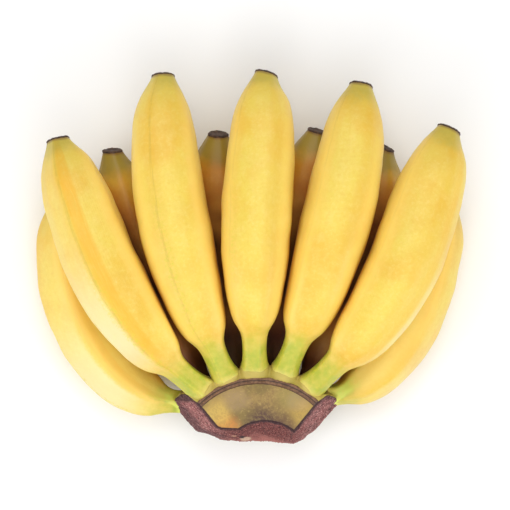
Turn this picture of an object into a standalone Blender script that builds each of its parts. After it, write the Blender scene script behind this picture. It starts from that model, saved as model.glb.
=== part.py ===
"""A hand of lady finger bananas, lying on its back row with the front row uppermost.

Eleven short, plump fruits grow in two rows from one crown, the piece of stalk that they were
cut off with. +X runs across the hand, +Y from the crown towards the fruits' tips, +Z up.
Sizes are millimetres; object_from() turns them into metres.
"""

import math
from typing import NamedTuple

import bmesh
import bpy
from mathutils import Matrix, Vector

METRES_PER_MM = 0.001

# The fruits: radii are shares of each fruit's own full radius, along its length from crown to tip.
GIRTH_ALONG = (
    (0.000, 0.370),
    (0.030, 0.345),
    (0.090, 0.335),
    (0.125, 0.360),
    (0.150, 0.465),
    (0.180, 0.610),
    (0.225, 0.735),
    (0.288, 0.840),
    (0.360, 0.920),
    (0.440, 0.975),
    (0.550, 1.000),
    (0.650, 0.990),
    (0.740, 0.950),
    (0.815, 0.895),
    (0.875, 0.800),
    (0.925, 0.650),
    (0.962, 0.490),
    (0.990, 0.370),
    (1.000, 0.325),
)
LONGEST_STEP_ALONG = 0.06
CURVE_SAMPLES = 400
RIDGES = 5
SIDES_PER_RIDGE = 4
FLATNESS_BETWEEN_RIDGES = 0.16
ROOT_IN_CROWN = 9.0
FLAT_SPOT_DEPTH = 0.35

# The crown: a slab of stalk curved round an upright axis, cut by a knife on the side away from the
# fruits. Its outline gives radius and height, from the skin on top, over the bract scar, to the underside.
STALK_AXIS = (1.5, -94.0)
CROWN_OUTLINE = (
    (0.0, 44.0),
    (20.0, 45.4),
    (34.0, 46.0),
    (36.3, 46.0),
    (36.5, 46.9),
    (38.4, 46.8),
    (38.8, 45.8),
    (40.4, 45.0),
    (41.6, 43.0),
    (42.2, 38.0),
    (43.0, 33.0),
    (44.4, 28.0),
    (45.0, 23.0),
    (44.2, 17.0),
    (41.0, 12.6),
    (34.0, 10.6),
    (20.0, 10.0),
    (0.0, 10.0),
)
CROWN_SECTORS = 64
CROWN_MIDDLE = (0.0, -66.0)
UPPER_CUT_HEIGHT = 46.0
LOWER_CUT_HEIGHT = 22.0
# Each cut: bearing of its outward side from -Y, towards +X, then its distance from the crown's middle
# at the lower and at the upper height.
KNIFE_CUTS = (
    (-50.0, 30.6, 20.4),
    (-19.0, 23.1, 16.5),
    (-3.0, 20.3, 13.0),
    (33.0, 27.8, 21.0),
    (50.0, 30.8, 22.0),
)
SCOOP_RADIUS = 21.5
SCOOP_AXIS_AT = (4.5, -96.0)
SCOOP_LEAN_DEG = 21.0
SCOOP_DEPTH = 90.0
SCOOP_SIDES = 48

MERGE_DISTANCE = 0.001
CLEARANCE = 0.3
SHARP_EDGE_DEG = 35.0

RIPE_YELLOW = (0.86, 0.60, 0.09)
CUT_STALK_BROWN = (0.20, 0.10, 0.07)


class Finger(NamedTuple):
    """One fruit. Its base is where it leaves the crown. The bearing, from +Y towards +X, and the rise
    above level of its middle line are in degrees at both ends. The sweep is how far each end keeps to
    its direction, as a share of the straight distance between them."""

    base: tuple
    leaves: tuple
    tip: tuple
    points: tuple
    sweep: float
    radius: float
    roll_deg: float


# Both rows run from the hand's left end to its right end.
FRONT_ROW = (
    Finger((-23.1, -61.2, 39.0), (-54, 16), (-88.8, 52.4, 37.5), (-19, -8), 0.39, 17.3, 24),
    Finger((-12.3, -56.4, 40.0), (-27, 20), (-41.1, 80.8, 38.0), (2, -12), 0.33, 16.5, 2),
    Finger((-0.2, -52.6, 41.0), (-1, 22), (5.2, 82.0, 40.0), (5, -12), 0.40, 16.4, -3),
    Finger((12.7, -53.8, 40.0), (23, 18), (47.8, 76.5, 37.0), (9, -12), 0.40, 16.4, -4),
    Finger((24.6, -59.8, 39.0), (48, 17), (87.6, 57.0, 38.0), (19, -8), 0.44, 17.1, -10),
)
BACK_ROW = (
    Finger((-28.0, -69.5, 24.0), (-88, -6), (-86.0, 27.0, 20.0), (10, 8), 0.38, 15.9, 20),
    Finger((-21.0, -65.5, 23.0), (-28, -6), (-65.6, 48.5, 24.0), (-12, 14), 0.36, 14.4, 10),
    Finger((-8.8, -58.0, 22.0), (-6, -6), (-16.8, 55.2, 26.0), (4, 20), 0.36, 14.6, 0),
    Finger((8.8, -58.0, 22.0), (4, -6), (28.5, 56.8, 25.0), (14, 14), 0.36, 14.4, 0),
    Finger((20.6, -65.5, 23.0), (27, -6), (59.6, 50.1, 24.0), (10, 14), 0.36, 14.4, -8),
    Finger((32.8, -68.8, 24.0), (75, -6), (86.0, 28.0, 20.0), (7, 8), 0.33, 15.8, -20),
)


def direction(bearing_deg, rise_deg):
    """The unit vector at a bearing from +Y towards +X, rising above level."""
    bearing = math.radians(bearing_deg)
    rise = math.radians(rise_deg)
    return Vector(
        (math.sin(bearing) * math.cos(rise), math.cos(bearing) * math.cos(rise), math.sin(rise))
    )


def middle_line(finger):
    """The four points of the cubic curve that a fruit's middle follows."""
    base = Vector(finger.base)
    tip = Vector(finger.tip)
    reach = (tip - base).length * finger.sweep
    return (
        base,
        base + direction(*finger.leaves) * reach,
        tip - direction(*finger.points) * reach,
        tip,
    )


def on_curve(curve, t):
    """Point and unit direction of a cubic curve at parameter t."""
    a, b, c, d = curve
    s = 1.0 - t
    point = a * s**3 + b * (3 * s * s * t) + c * (3 * s * t * t) + d * t**3
    along = (b - a) * (3 * s * s) + (c - b) * (6 * s * t) + (d - c) * (3 * t * t)
    return point, along.normalized()


def at_shares(curve, shares):
    """Points and directions at the given shares of the curve's length."""
    points = [on_curve(curve, i / CURVE_SAMPLES)[0] for i in range(CURVE_SAMPLES + 1)]
    travelled = [0.0]
    for before, after in zip(points, points[1:]):
        travelled.append(travelled[-1] + (after - before).length)
    placed = []
    step = 0
    for share in shares:
        wanted = share * travelled[-1]
        while step < CURVE_SAMPLES - 1 and travelled[step + 1] < wanted:
            step += 1
        part = (wanted - travelled[step]) / (travelled[step + 1] - travelled[step])
        placed.append(on_curve(curve, (step + part) / CURVE_SAMPLES))
    return placed


def stations():
    """(share of length, share of radius) for every ring of a fruit, with long gaps split in equal steps."""
    rings = [GIRTH_ALONG[0]]
    for (t0, r0), (t1, r1) in zip(GIRTH_ALONG, GIRTH_ALONG[1:]):
        steps = math.ceil((t1 - t0) / LONGEST_STEP_ALONG)
        rings += [
            (t0 + (t1 - t0) * i / steps, r0 + (r1 - r0) * i / steps) for i in range(1, steps + 1)
        ]
    return rings


def ridged(angle):
    """Share of the radius at an angle round a fruit: 1 on a ridge, less on the flats between ridges."""
    half_flat = math.pi / RIDGES
    from_flat = angle % (2 * half_flat) - half_flat
    polygon = math.cos(half_flat) / math.cos(from_flat)
    return 1.0 - FLATNESS_BETWEEN_RIDGES * (1.0 - polygon)


def ring_round(point, along, radius, roll):
    """The corners of one ring of a fruit, square to its middle line."""
    side = along.cross(Vector((0, 0, 1))).normalized()
    up = side.cross(along)
    corners = []
    for i in range(RIDGES * SIDES_PER_RIDGE):
        angle = 2 * math.pi * i / (RIDGES * SIDES_PER_RIDGE)
        outward = side * math.cos(angle + roll) + up * math.sin(angle + roll)
        corners.append(point + outward * radius * ridged(angle))
    return corners


def finger_mesh(finger):
    """The fruit as one closed tube, its root sunk into the crown."""
    curve = middle_line(finger)
    rings = stations()
    placed = at_shares(curve, [share for share, _ in rings])
    roll = math.radians(finger.roll_deg)
    bm = bmesh.new()
    root, leaving = placed[0]
    loops = [ring_round(root - leaving * ROOT_IN_CROWN, leaving, finger.radius * rings[0][1], roll)]
    for (point, along), (_, girth) in zip(placed, rings):
        loops.append(ring_round(point, along, finger.radius * girth, roll))
    loops = [[bm.verts.new(corner) for corner in loop] for loop in loops]
    for before, after in zip(loops, loops[1:]):
        for i, corner in enumerate(before):
            following = (i + 1) % len(before)
            bm.faces.new((corner, before[following], after[following], after[i]))
    bm.faces.new(reversed(loops[0]))
    bm.faces.new(loops[-1])
    return bm


def lower_to_table(bm):
    """Brings the lowest point to just under the table's height and cuts the flat spot that it rests on."""
    lowest = min(vert.co.z for vert in bm.verts)
    bmesh.ops.translate(bm, verts=bm.verts, vec=(0, 0, -FLAT_SPOT_DEPTH - lowest))
    cut_away(bm, Vector((0, 0, 0)), Vector((0, 0, -1)))


def cut_away(bm, point, outward):
    """Removes what lies outward of a plane and closes the cut with one flat face."""
    cut = bmesh.ops.bisect_plane(
        bm,
        geom=bm.verts[:] + bm.edges[:] + bm.faces[:],
        plane_co=point,
        plane_no=outward,
        clear_outer=True,
    )
    edges = [item for item in cut["geom_cut"] if isinstance(item, bmesh.types.BMEdge)]
    bmesh.ops.edgenet_fill(bm, edges=edges)


def crown_mesh(grown=0.0):
    """The crown: its outline turned round the stalk's axis, trimmed by the knife, and grown outwards."""
    bm = bmesh.new()
    outline = [bm.verts.new((across, 0, height)) for across, height in CROWN_OUTLINE]
    edges = [bm.edges.new(pair) for pair in zip(outline, outline[1:])]
    bmesh.ops.spin(
        bm,
        geom=outline + edges,
        axis=(0, 0, 1),
        cent=(0, 0, 0),
        angle=2 * math.pi,
        steps=CROWN_SECTORS,
        use_merge=True,
    )
    bmesh.ops.remove_doubles(bm, verts=bm.verts, dist=MERGE_DISTANCE)
    bmesh.ops.translate(bm, verts=bm.verts, vec=(*STALK_AXIS, 0))
    for bearing_deg, lower, upper in KNIFE_CUTS:
        bearing = math.radians(bearing_deg)
        level_out = Vector((math.sin(bearing), -math.cos(bearing), 0))
        middle = Vector((*CROWN_MIDDLE, 0))
        point = middle + level_out * lower + Vector((0, 0, LOWER_CUT_HEIGHT))
        cut_away(bm, point, level_out)
        lean = (lower - upper) / (UPPER_CUT_HEIGHT - LOWER_CUT_HEIGHT)
        cut_away(bm, point, (level_out + Vector((0, 0, lean))).normalized())
    bmesh.ops.recalc_face_normals(bm, faces=bm.faces)
    if grown:
        moves = [vert.normal * vert.calc_shell_factor() * grown for vert in bm.verts]
        for vert, move in zip(bm.verts, moves):
            vert.co += move
    return bm


def scoop_mesh():
    """The slanting round cut that the knife's tip left in the middle of the crown's cut side."""
    bm = bmesh.new()
    bmesh.ops.create_cone(
        bm,
        cap_ends=True,
        segments=SCOOP_SIDES,
        radius1=SCOOP_RADIUS,
        radius2=SCOOP_RADIUS,
        depth=SCOOP_DEPTH,
        matrix=Matrix.Translation((*SCOOP_AXIS_AT, UPPER_CUT_HEIGHT))
        @ Matrix.Rotation(math.radians(-SCOOP_LEAN_DEG), 4, "X"),
    )
    return bm


def material(name, colour, roughness):
    """A plain finish in one colour."""
    made = bpy.data.materials.new(name)
    made.use_nodes = True
    shader = made.node_tree.nodes["Principled BSDF"]
    shader.inputs["Base Color"].default_value = (*colour, 1.0)
    shader.inputs["Roughness"].default_value = roughness
    shader.inputs["Metallic"].default_value = 0.0
    return made


def object_from(name, bm, finish=None):
    """A scene object in metres from a mesh in millimetres."""
    bmesh.ops.scale(bm, vec=(METRES_PER_MM,) * 3, verts=bm.verts)
    mesh = bpy.data.meshes.new(name)
    bm.to_mesh(mesh)
    bm.free()
    made = bpy.data.objects.new(name, mesh)
    bpy.context.scene.collection.objects.link(made)
    if finish:
        mesh.materials.append(finish)
        mesh.shade_smooth()
        mesh.set_sharp_from_angle(angle=math.radians(SHARP_EDGE_DEG))
    return made


def cutter_from(name, bm):
    """A helper that only cuts others and is never part of the object."""
    made = object_from(name, bm)
    made.hide_render = True
    made.display_type = "WIRE"
    return made


def cut_with(target, cutter):
    """Takes the cutter's shape out of the target."""
    cut = target.modifiers.new("cut by " + cutter.name, "BOOLEAN")
    cut.operation = "DIFFERENCE"
    cut.object = cutter


def centre_over_origin(parts):
    """Moves the whole hand so that the middle of its footprint is at the origin."""
    graph = bpy.context.evaluated_depsgraph_get()
    corners = [
        part.matrix_world @ vert.co
        for part in parts
        for vert in part.evaluated_get(graph).data.vertices
    ]
    middle = [
        (min(corner[axis] for corner in corners) + max(corner[axis] for corner in corners)) / 2
        for axis in range(2)
    ]
    for item in bpy.data.objects:
        item.location = (-middle[0], -middle[1], 0)


def finger_object(name, finger, on_table, crown_room):
    """One fruit, lowered to the table if it lies there, with room left round the crown."""
    bm = finger_mesh(finger)
    if on_table:
        lower_to_table(bm)
    fruit = object_from(name, bm, material(name + "_peel", RIPE_YELLOW, 0.5))
    cut_with(fruit, crown_room)
    return fruit


def build():
    for old in list(bpy.data.objects):
        bpy.data.objects.remove(old)
    crown = object_from("crown", crown_mesh(), material("crown_stalk", CUT_STALK_BROWN, 0.8))
    cut_with(crown, cutter_from("knife_scoop", scoop_mesh()))
    crown_room = cutter_from("crown_room", crown_mesh(grown=CLEARANCE))
    parts = [crown]
    for number, finger in enumerate(FRONT_ROW, start=1):
        parts.append(finger_object(f"front_finger_{number}", finger, False, crown_room))
    for number, finger in enumerate(BACK_ROW, start=1):
        parts.append(finger_object(f"back_finger_{number}", finger, True, crown_room))
    bpy.context.view_layer.update()
    centre_over_origin(parts)


build()
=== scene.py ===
# %% [markdown]
# # A hand of lady finger bananas
#
# The real object is eleven short, plump fruits that grew in two rows from one crown, the piece of
# stalk that they were cut off with. The hand lies on its back row, and the camera looks down on it.
#
# This lesson dresses a plain solid model of the hand. We grow each fruit's peel along a curve with
# Geometry Nodes, shape the crown in mesh code, and give every surface a procedural material.

import math
from types import SimpleNamespace
from typing import NamedTuple

import bmesh
import bpy
import numpy as np
from mathutils import Matrix, Vector, noise
from mathutils.bvhtree import BVHTree


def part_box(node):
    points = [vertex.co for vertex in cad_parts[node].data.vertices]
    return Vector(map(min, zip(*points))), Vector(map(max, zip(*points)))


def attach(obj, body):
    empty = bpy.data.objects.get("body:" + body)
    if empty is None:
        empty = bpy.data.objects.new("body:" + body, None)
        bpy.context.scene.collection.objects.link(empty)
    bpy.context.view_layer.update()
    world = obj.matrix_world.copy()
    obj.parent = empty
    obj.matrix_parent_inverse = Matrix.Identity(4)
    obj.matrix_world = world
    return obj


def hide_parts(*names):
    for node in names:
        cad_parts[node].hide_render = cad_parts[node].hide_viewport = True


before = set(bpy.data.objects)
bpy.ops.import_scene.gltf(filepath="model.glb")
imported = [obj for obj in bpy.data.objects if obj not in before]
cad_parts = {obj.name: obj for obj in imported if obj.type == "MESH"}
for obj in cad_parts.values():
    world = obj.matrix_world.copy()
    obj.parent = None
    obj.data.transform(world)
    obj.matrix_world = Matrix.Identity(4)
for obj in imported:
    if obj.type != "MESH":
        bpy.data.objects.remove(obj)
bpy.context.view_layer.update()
MM = 0.001

# %% [markdown]
# ## Camera
#
# The photo looks straight down on the hand, from far enough away that the front row is only a
# little larger than the back row. A camera one metre above the fruits gives the same perspective.
# The lens then follows from how much of the table the picture takes in, 228 mm at the front row.

# %% Camera
PICTURE_WIDTH = 228.0 * MM
FRONT_ROW_HEIGHT = 43.0 * MM
CAMERA_DISTANCE = 1.0
PICTURE_MIDDLE = Vector((2.47 * MM, 1.4 * MM, 0.0))

camera = bpy.data.objects.new("camera", bpy.data.cameras.new("camera"))
bpy.context.scene.collection.objects.link(camera)
camera.data.lens = camera.data.sensor_width * CAMERA_DISTANCE / PICTURE_WIDTH
camera.location = PICTURE_MIDDLE + Vector((0, 0, FRONT_ROW_HEIGHT + CAMERA_DISTANCE))
camera.data.clip_start = 0.01
camera.data.clip_end = 20.0
bpy.context.scene.camera = camera
print(f"lens {camera.data.lens:.0f} mm")

# %% [markdown]
# ## A helper for node trees
#
# Geometry trees and material trees are built the same way: add a node, give its inputs either a
# plain value or the output of another node, and go on. A small class keeps each step to one line.


# %% Node tree helper
class Nodes:
    """Adds nodes to one tree. An input is named or numbered, and takes a value or another output."""

    def __init__(self, tree):
        self.tree = tree

    def add(self, kind, inputs=None, **settings):
        node = self.tree.nodes.new(kind)
        for name, value in settings.items():
            setattr(node, name, value)
        for key, value in (inputs or {}).items():
            if isinstance(value, bpy.types.NodeSocket):
                self.tree.links.new(value, node.inputs[key])
            else:
                node.inputs[key].default_value = value
        return node

    def math(self, operation, first, second=0.0, third=0.0):
        inputs = {0: first, 1: second, 2: third}
        return self.add("ShaderNodeMath", inputs, operation=operation).outputs[0]

    def times(self, value, *others):
        """All the values multiplied together."""
        for other in others:
            value = self.math("MULTIPLY", value, other)
        return value

    def rest(self, share):
        """What a share leaves over: one minus it."""
        return self.math("SUBTRACT", 1.0, share)

    def wander(self, value, pattern, amount):
        """The value moved by a noise, by up to half the amount either way, so that edges wander."""
        return self.math("MULTIPLY_ADD", self.math("SUBTRACT", pattern, 0.5), amount, value)

    def vector_math(self, operation, first, second=(0, 0, 0), output=0):
        node = self.add("ShaderNodeVectorMath", {0: first, 1: second}, operation=operation)
        return node.outputs[output]

    def scaled(self, vector, factor):
        inputs = {"Vector": vector, "Scale": factor}
        return self.add("ShaderNodeVectorMath", inputs, operation="SCALE").outputs[0]

    def split(self, vector):
        """The x, y and z of a vector."""
        return self.add("ShaderNodeSeparateXYZ", {0: vector}).outputs

    def joined(self, x=0.0, y=0.0, z=0.0):
        """The vector of an x, a y and a z."""
        return self.add("ShaderNodeCombineXYZ", {0: x, 1: y, 2: z}).outputs[0]

    def ramp(self, value, low, high, to_low=0.0, to_high=1.0):
        """Smoothly from to_low to to_high while value goes from low to high."""
        inputs = {"Value": value, "From Min": low, "From Max": high}
        inputs |= {"To Min": to_low, "To Max": to_high}
        return self.add("ShaderNodeMapRange", inputs, interpolation_type="SMOOTHSTEP").outputs[0]

    def noise(self, vector, scale, detail, roughness=0.5):
        """Cloudy noise, about 0.5 on average; the scale is in waves per unit of the vector."""
        inputs = {"Vector": vector, "Scale": scale, "Detail": detail, "Roughness": roughness}
        return self.add("ShaderNodeTexNoise", inputs).outputs[0]


print("node helper ready:", ", ".join(name for name in vars(Nodes) if not name.startswith("_")))

# %% [markdown]
# ## The fruits
#
# A banana keeps one cross-section, a rounded five-sided figure, along a bent middle line, and only
# its girth changes: a slim handle, a shoulder, a full body and a taper to the blossom end. That is
# a rule, so it suits Geometry Nodes: one tree grows every fruit from its own middle line.
#
# The table holds what differs, in millimetres and degrees: where a fruit leaves the crown and where
# it ends, the direction at both ends (bearing from +Y towards +X, and rise above level), how far it
# keeps to each direction, and its full radius. These place it just where the solid model has it.
# The rest is looks: how its ridges are turned, how strong they are, how its tip slants and how long
# its handle is. The outermost fruits also get a painted sheen on one side and a painted shade stripe
# of deeper yellow beside it: at which angle round the fruit each lies, and how strong both are.


# %% The hand's measurements
class Fruit(NamedTuple):
    node: str
    base: tuple
    leaves: tuple
    tip: tuple
    points: tuple
    sweep: float
    radius: float
    ridge_turn_deg: float
    ridge_height: float
    tip_slant: float
    handle: float = 17.0
    # The sheen and shade stripe turns place a painted sheen and a painted shade stripe; tinted scales
    # both.
    sheen_turn_deg: float = 0.0
    shade_stripe_turn_deg: float = 0.0
    tinted: float = 0.0


FRUITS = (
    Fruit("front_finger_1", (-22.0, -62.0, 39), (-54, 16), (-88.8, 52.4, 37.5), (-19, -8), 0.39, 17.3,
          ridge_turn_deg=38, ridge_height=0.07, tip_slant=-0.1, handle=18.4,
          sheen_turn_deg=148, shade_stripe_turn_deg=96, tinted=0.75),
    Fruit("front_finger_2", (-12.3, -56.4, 40), (-27, 20), (-41.1, 80.8, 38), (2, -12), 0.33, 16.5,
          ridge_turn_deg=41, ridge_height=0.03, tip_slant=0.07),
    Fruit("front_finger_3", (-0.2, -52.6, 41), (-1, 22), (5.2, 82.0, 40), (5, -12), 0.40, 16.4,
          ridge_turn_deg=-8, ridge_height=0.032, tip_slant=-0.17),
    Fruit("front_finger_4", (12.7, -53.8, 40), (23, 18), (47.8, 76.5, 37), (9, -12), 0.40, 16.4,
          ridge_turn_deg=-13, ridge_height=0.032, tip_slant=-0.02),
    Fruit("front_finger_5", (23.6, -60.7, 39), (48, 17), (87.6, 57.0, 38), (19, -8), 0.44, 17.1,
          ridge_turn_deg=-8, ridge_height=0.042, tip_slant=-0.1, handle=18.4,
          sheen_turn_deg=-6, shade_stripe_turn_deg=40, tinted=0.35),
    Fruit("back_finger_1", (-28.0, -67.2, 24), (-97, -6), (-86.0, 27.0, 20), (10, 8), 0.38, 15.9,
          ridge_turn_deg=23, ridge_height=0.07, tip_slant=0.0, handle=11.0,
          sheen_turn_deg=138, shade_stripe_turn_deg=84, tinted=0.7),
    Fruit("back_finger_2", (-21.0, -65.5, 23), (-28, -6), (-65.6, 48.5, 24), (-12, 14), 0.36, 14.4,
          ridge_turn_deg=10, ridge_height=0.035, tip_slant=-0.16, handle=12.5),
    Fruit("back_finger_3", (-8.8, -58.0, 22), (-6, -6), (-16.8, 55.2, 26), (4, 20), 0.36, 14.6,
          ridge_turn_deg=0, ridge_height=0.035, tip_slant=0.0),
    Fruit("back_finger_4", (8.8, -58.0, 22), (4, -6), (28.5, 56.8, 25), (14, 14), 0.36, 14.4,
          ridge_turn_deg=0, ridge_height=0.035, tip_slant=0.0),
    Fruit("back_finger_5", (20.6, -65.5, 23), (27, -6), (59.6, 50.1, 24), (10, 14), 0.36, 14.4,
          ridge_turn_deg=-8, ridge_height=0.035, tip_slant=-0.2, handle=12.0),
    Fruit("back_finger_6", (32.8, -65.2, 24), (82, -6), (86.0, 28.0, 20), (7, 8), 0.33, 15.6,
          ridge_turn_deg=-13, ridge_height=0.055, tip_slant=0.0, handle=6.5,
          sheen_turn_deg=18, shade_stripe_turn_deg=68, tinted=0.25),
)
# The solid model is centred over the origin, so the measurements above move by this much.
HAND_SHIFT = Vector((2.467, 2.067, 0.0))
# The swollen collar where a handle leaves the crown is pushed out along a rising handle, until it
# stands clear of the neck under it.
COLLAR_GIRTH = 0.4


def collar_at(fruit):
    """How far out along its handle a fruit's collar sits, in mm, so that its top is above its base."""
    return max(0.0, math.sin(math.radians(fruit.leaves[1]))) * COLLAR_GIRTH * fruit.radius


print(len(FRUITS), "fruits, collars at", [round(collar_at(fruit), 1) for fruit in FRUITS])

# %% [markdown]
# A Bézier curve object carries each middle line. It has three points: the root inside the crown,
# the place where the fruit leaves it, and the tip. The two handles that face each other bend it.
# The line stops a little short of the tip, because the dried blossom end takes up the rest.


# %% Middle lines
ROOT_LENGTH = 5.0
BLOSSOM_THICKNESS = 1.1
LINE_RESOLUTION = 120


def direction(bearing_deg, rise_deg):
    """The unit vector at a bearing from +Y towards +X, rising above level."""
    bearing = math.radians(bearing_deg)
    rise = math.radians(rise_deg)
    level = math.cos(rise)
    return Vector((math.sin(bearing) * level, math.cos(bearing) * level, math.sin(rise)))


def middle_line(fruit):
    """The curve object that the fruit's middle follows, from its root to its tip."""
    leaving = direction(*fruit.leaves)
    pointing = direction(*fruit.points)
    base = Vector(fruit.base) + HAND_SHIFT
    tip = Vector(fruit.tip) + HAND_SHIFT - pointing * BLOSSOM_THICKNESS
    reach = (tip - base).length * fruit.sweep
    root = base - leaving * ROOT_LENGTH
    line = bpy.data.curves.new(fruit.node + "_line", "CURVE")
    line.dimensions = "3D"
    line.resolution_u = LINE_RESOLUTION
    spline = line.splines.new("BEZIER")
    spline.bezier_points.add(2)
    handles = (
        (root - leaving, root, root + leaving),
        (base - leaving, base, base + leaving * reach),
        (tip - pointing * reach, tip, tip + pointing),
    )
    for point, (before, at, after) in zip(spline.bezier_points, handles):
        point.handle_left_type = "FREE"
        point.handle_right_type = "FREE"
        point.handle_left = before * MM
        point.co = at * MM
        point.handle_right = after * MM
    made = bpy.data.objects.new(line.name, line)
    bpy.context.scene.collection.objects.link(made)
    return made


spans = [(Vector(fruit.tip) - Vector(fruit.base)).length for fruit in FRUITS]
print(f"from crown to tip the fruits span {min(spans):.0f} to {max(spans):.0f} mm")

# %% [markdown]
# ### The tree that grows a peel
#
# The tree resamples the line into rings, sets the girth of each ring from a profile curve, sweeps a
# circle along it, and then moves every point towards or away from the middle line: in between the
# ridges, out on them, and by a slow noise, because no fruit is perfectly regular.
#
# It also stores what the material needs to follow the fruit: `along`, 0 at the crown and 1 at the
# tip, `ridge`, 1 on a ridge and 0 half-way between two, `pale` and `deep`, the shares of the painted
# sheen and the painted shade stripe, and `skin`, a position in millimetres on an unrolled fruit, so
# that streaks run lengthwise however the fruit bends.
#
# The profile below is the banana's silhouette: each step gives the share of the length and the
# share of the full radius there. A Float Curve node draws a smooth line through the steps.

# %% Girth along a fruit
GIRTH_ALONG = (
    (0.000, 0.405),
    (0.018, 0.400),
    (0.040, 0.368),
    (0.075, 0.348),
    (0.105, 0.357),
    (0.125, 0.380),
    (0.150, 0.465),
    (0.180, 0.610),
    (0.225, 0.735),
    (0.288, 0.840),
    (0.360, 0.920),
    (0.440, 0.975),
    (0.550, 1.000),
    (0.650, 0.990),
    (0.740, 0.950),
    (0.815, 0.895),
    (0.875, 0.800),
    (0.925, 0.650),
    (0.962, 0.490),
    (0.988, 0.372),
    (1.000, 0.325),
)


def girth_curve(nodes, along):
    """A Float Curve node that gives the share of the full radius at each share of the length."""
    node = nodes.add("ShaderNodeFloatCurve", {"Value": along})
    curve = node.mapping.curves[0]
    curve.points[0].location = GIRTH_ALONG[0]
    curve.points[1].location = GIRTH_ALONG[-1]
    for share, girth in GIRTH_ALONG[1:-1]:
        curve.points.new(share, girth)
    for point in curve.points:
        point.handle_type = "AUTO_CLAMPED"
    node.mapping.update()
    return node.outputs[0]


slimmest = min(GIRTH_ALONG[1:9], key=lambda step: step[1])
print("girth steps:", len(GIRTH_ALONG), "and the handle is slimmest at", slimmest)

# %% [markdown]
# A tree's inputs are sockets on its interface, with a name and a default. Two small helpers store a
# value on every point under a name and read it back further down the tree, after the sweep has
# turned the line's points into a mesh.

# %% Tree inputs and stored values
PEEL_INPUTS = {
    "Full Radius": ("NodeSocketFloat", 0.016),
    "Root Length": ("NodeSocketFloat", ROOT_LENGTH * MM),
    "Handle Length": ("NodeSocketFloat", 0.017),
    "Collar At": ("NodeSocketFloat", 0.002),
    "Ridge Turn": ("NodeSocketFloat", 0.0),
    "Ridge Height": ("NodeSocketFloat", 0.03),
    "Tip Slant": ("NodeSocketFloat", 0.0),
    "Sheen Turn": ("NodeSocketFloat", 0.0),
    "Shade Stripe Turn": ("NodeSocketFloat", 0.0),
    "Unevenness": ("NodeSocketFloat", 0.0005),
    "Seed": ("NodeSocketFloat", 0.0),
    "Lies On Table": ("NodeSocketFloat", 0.0),
    "Press": ("NodeSocketFloat", 0.35 * MM),
    "Peel": ("NodeSocketMaterial", None),
}


def new_tree(name, inputs):
    """An empty geometry tree with named inputs, its group input's outputs and its last node."""
    tree = bpy.data.node_groups.new(name, "GeometryNodeTree")
    tree.interface.new_socket("Geometry", in_out="INPUT", socket_type="NodeSocketGeometry")
    tree.interface.new_socket("Geometry", in_out="OUTPUT", socket_type="NodeSocketGeometry")
    for label, (kind, value) in inputs.items():
        socket = tree.interface.new_socket(label, in_out="INPUT", socket_type=kind)
        if value is not None:
            socket.default_value = value
    nodes = Nodes(tree)
    return tree, nodes, nodes.add("NodeGroupInput").outputs, nodes.add("NodeGroupOutput")


def stored(nodes, geometry, name, kind, value):
    """Keeps a value on every point under a name."""
    inputs = {"Geometry": geometry, "Name": name}
    node = nodes.add("GeometryNodeStoreNamedAttribute", inputs, data_type=kind)
    nodes.tree.links.new(value, node.inputs["Value"])
    return node.outputs[0]


def kept(nodes, name, kind="FLOAT"):
    """Reads back a value kept under a name."""
    node = nodes.add("GeometryNodeInputNamedAttribute", {"Name": name}, data_type=kind)
    return node.outputs[0]


print("peel tree inputs:", ", ".join(PEEL_INPUTS))

# %% [markdown]
# The first part of the tree works on the bare line. The handle takes up the same share of every
# fruit's profile, however long it is, so `along` runs at one pace on the handle and at another on
# the body. The second part sweeps a circle of radius one along the rings.

# %% Rings along the line
HANDLE_SHARE = 0.125
RINGS = 230
SIDES = 100


def rings_along(nodes, given):
    """The middle line as rings that know how far along they are, where, and which way they head."""
    resampled = {"Curve": given["Geometry"], "Count": RINGS}
    rings = nodes.add("GeometryNodeResampleCurve", resampled).outputs[0]
    root, handle = given["Root Length"], given["Handle Length"]
    passed = nodes.add("GeometryNodeSplineParameter").outputs["Length"]
    travelled = nodes.math("SUBTRACT", passed, root)
    length = nodes.math("SUBTRACT", nodes.add("GeometryNodeSplineLength").outputs[0], root)
    on_handle = {"Value": travelled, "From Max": handle, "To Max": HANDLE_SHARE}
    on_body = {"Value": travelled, "From Min": handle, "From Max": length, "To Max": 1.0 - HANDLE_SHARE}
    shares = [nodes.add("ShaderNodeMapRange", inputs).outputs[0] for inputs in (on_handle, on_body)]
    position = nodes.add("GeometryNodeInputPosition").outputs[0]
    tangent = nodes.add("GeometryNodeInputTangent").outputs[0]
    rings = stored(nodes, rings, "along", "FLOAT", nodes.math("ADD", *shares))
    rings = stored(nodes, rings, "travelled", "FLOAT", travelled)
    rings = stored(nodes, rings, "middle", "FLOAT_VECTOR", position)
    return stored(nodes, rings, "heading", "FLOAT_VECTOR", tangent)


def swept_tube(nodes, rings, given):
    """A closed tube round the rings, whose points know their turn round the fruit."""
    circle = {"Resolution": SIDES, "Radius": 1.0}
    circle = nodes.add("GeometryNodeCurvePrimitiveCircle", circle).outputs[0]
    turn = nodes.times(nodes.add("GeometryNodeSplineParameter").outputs["Factor"], 2 * math.pi)
    circle = stored(nodes, circle, "turn", "FLOAT", turn)
    sweep = {"Curve": rings, "Profile Curve": circle, "Scale": given["Full Radius"], "Fill Caps": True}
    mesh = nodes.add("GeometryNodeCurveToMesh", sweep).outputs[0]
    return nodes.add("GeometryNodeFlipFaces", {"Mesh": mesh}).outputs[0]


print("each peel has", RINGS, "rings of", SIDES, "points")

# %% [markdown]
# The cross-section follows the angle round the fruit. A cosine with five waves is 1 on each ridge
# and 0 half-way between. Raised to a power it stays low and rises late, which gives the pinched
# ridges with slightly hollow flanks that a real peel has, instead of five flat planks. Ridges are
# strongest at the shoulder and near the tip, and the full middle is almost round. Where a handle
# leaves the crown, a narrow bump makes its collar, and the root inside the crown is slimmer.

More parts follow.
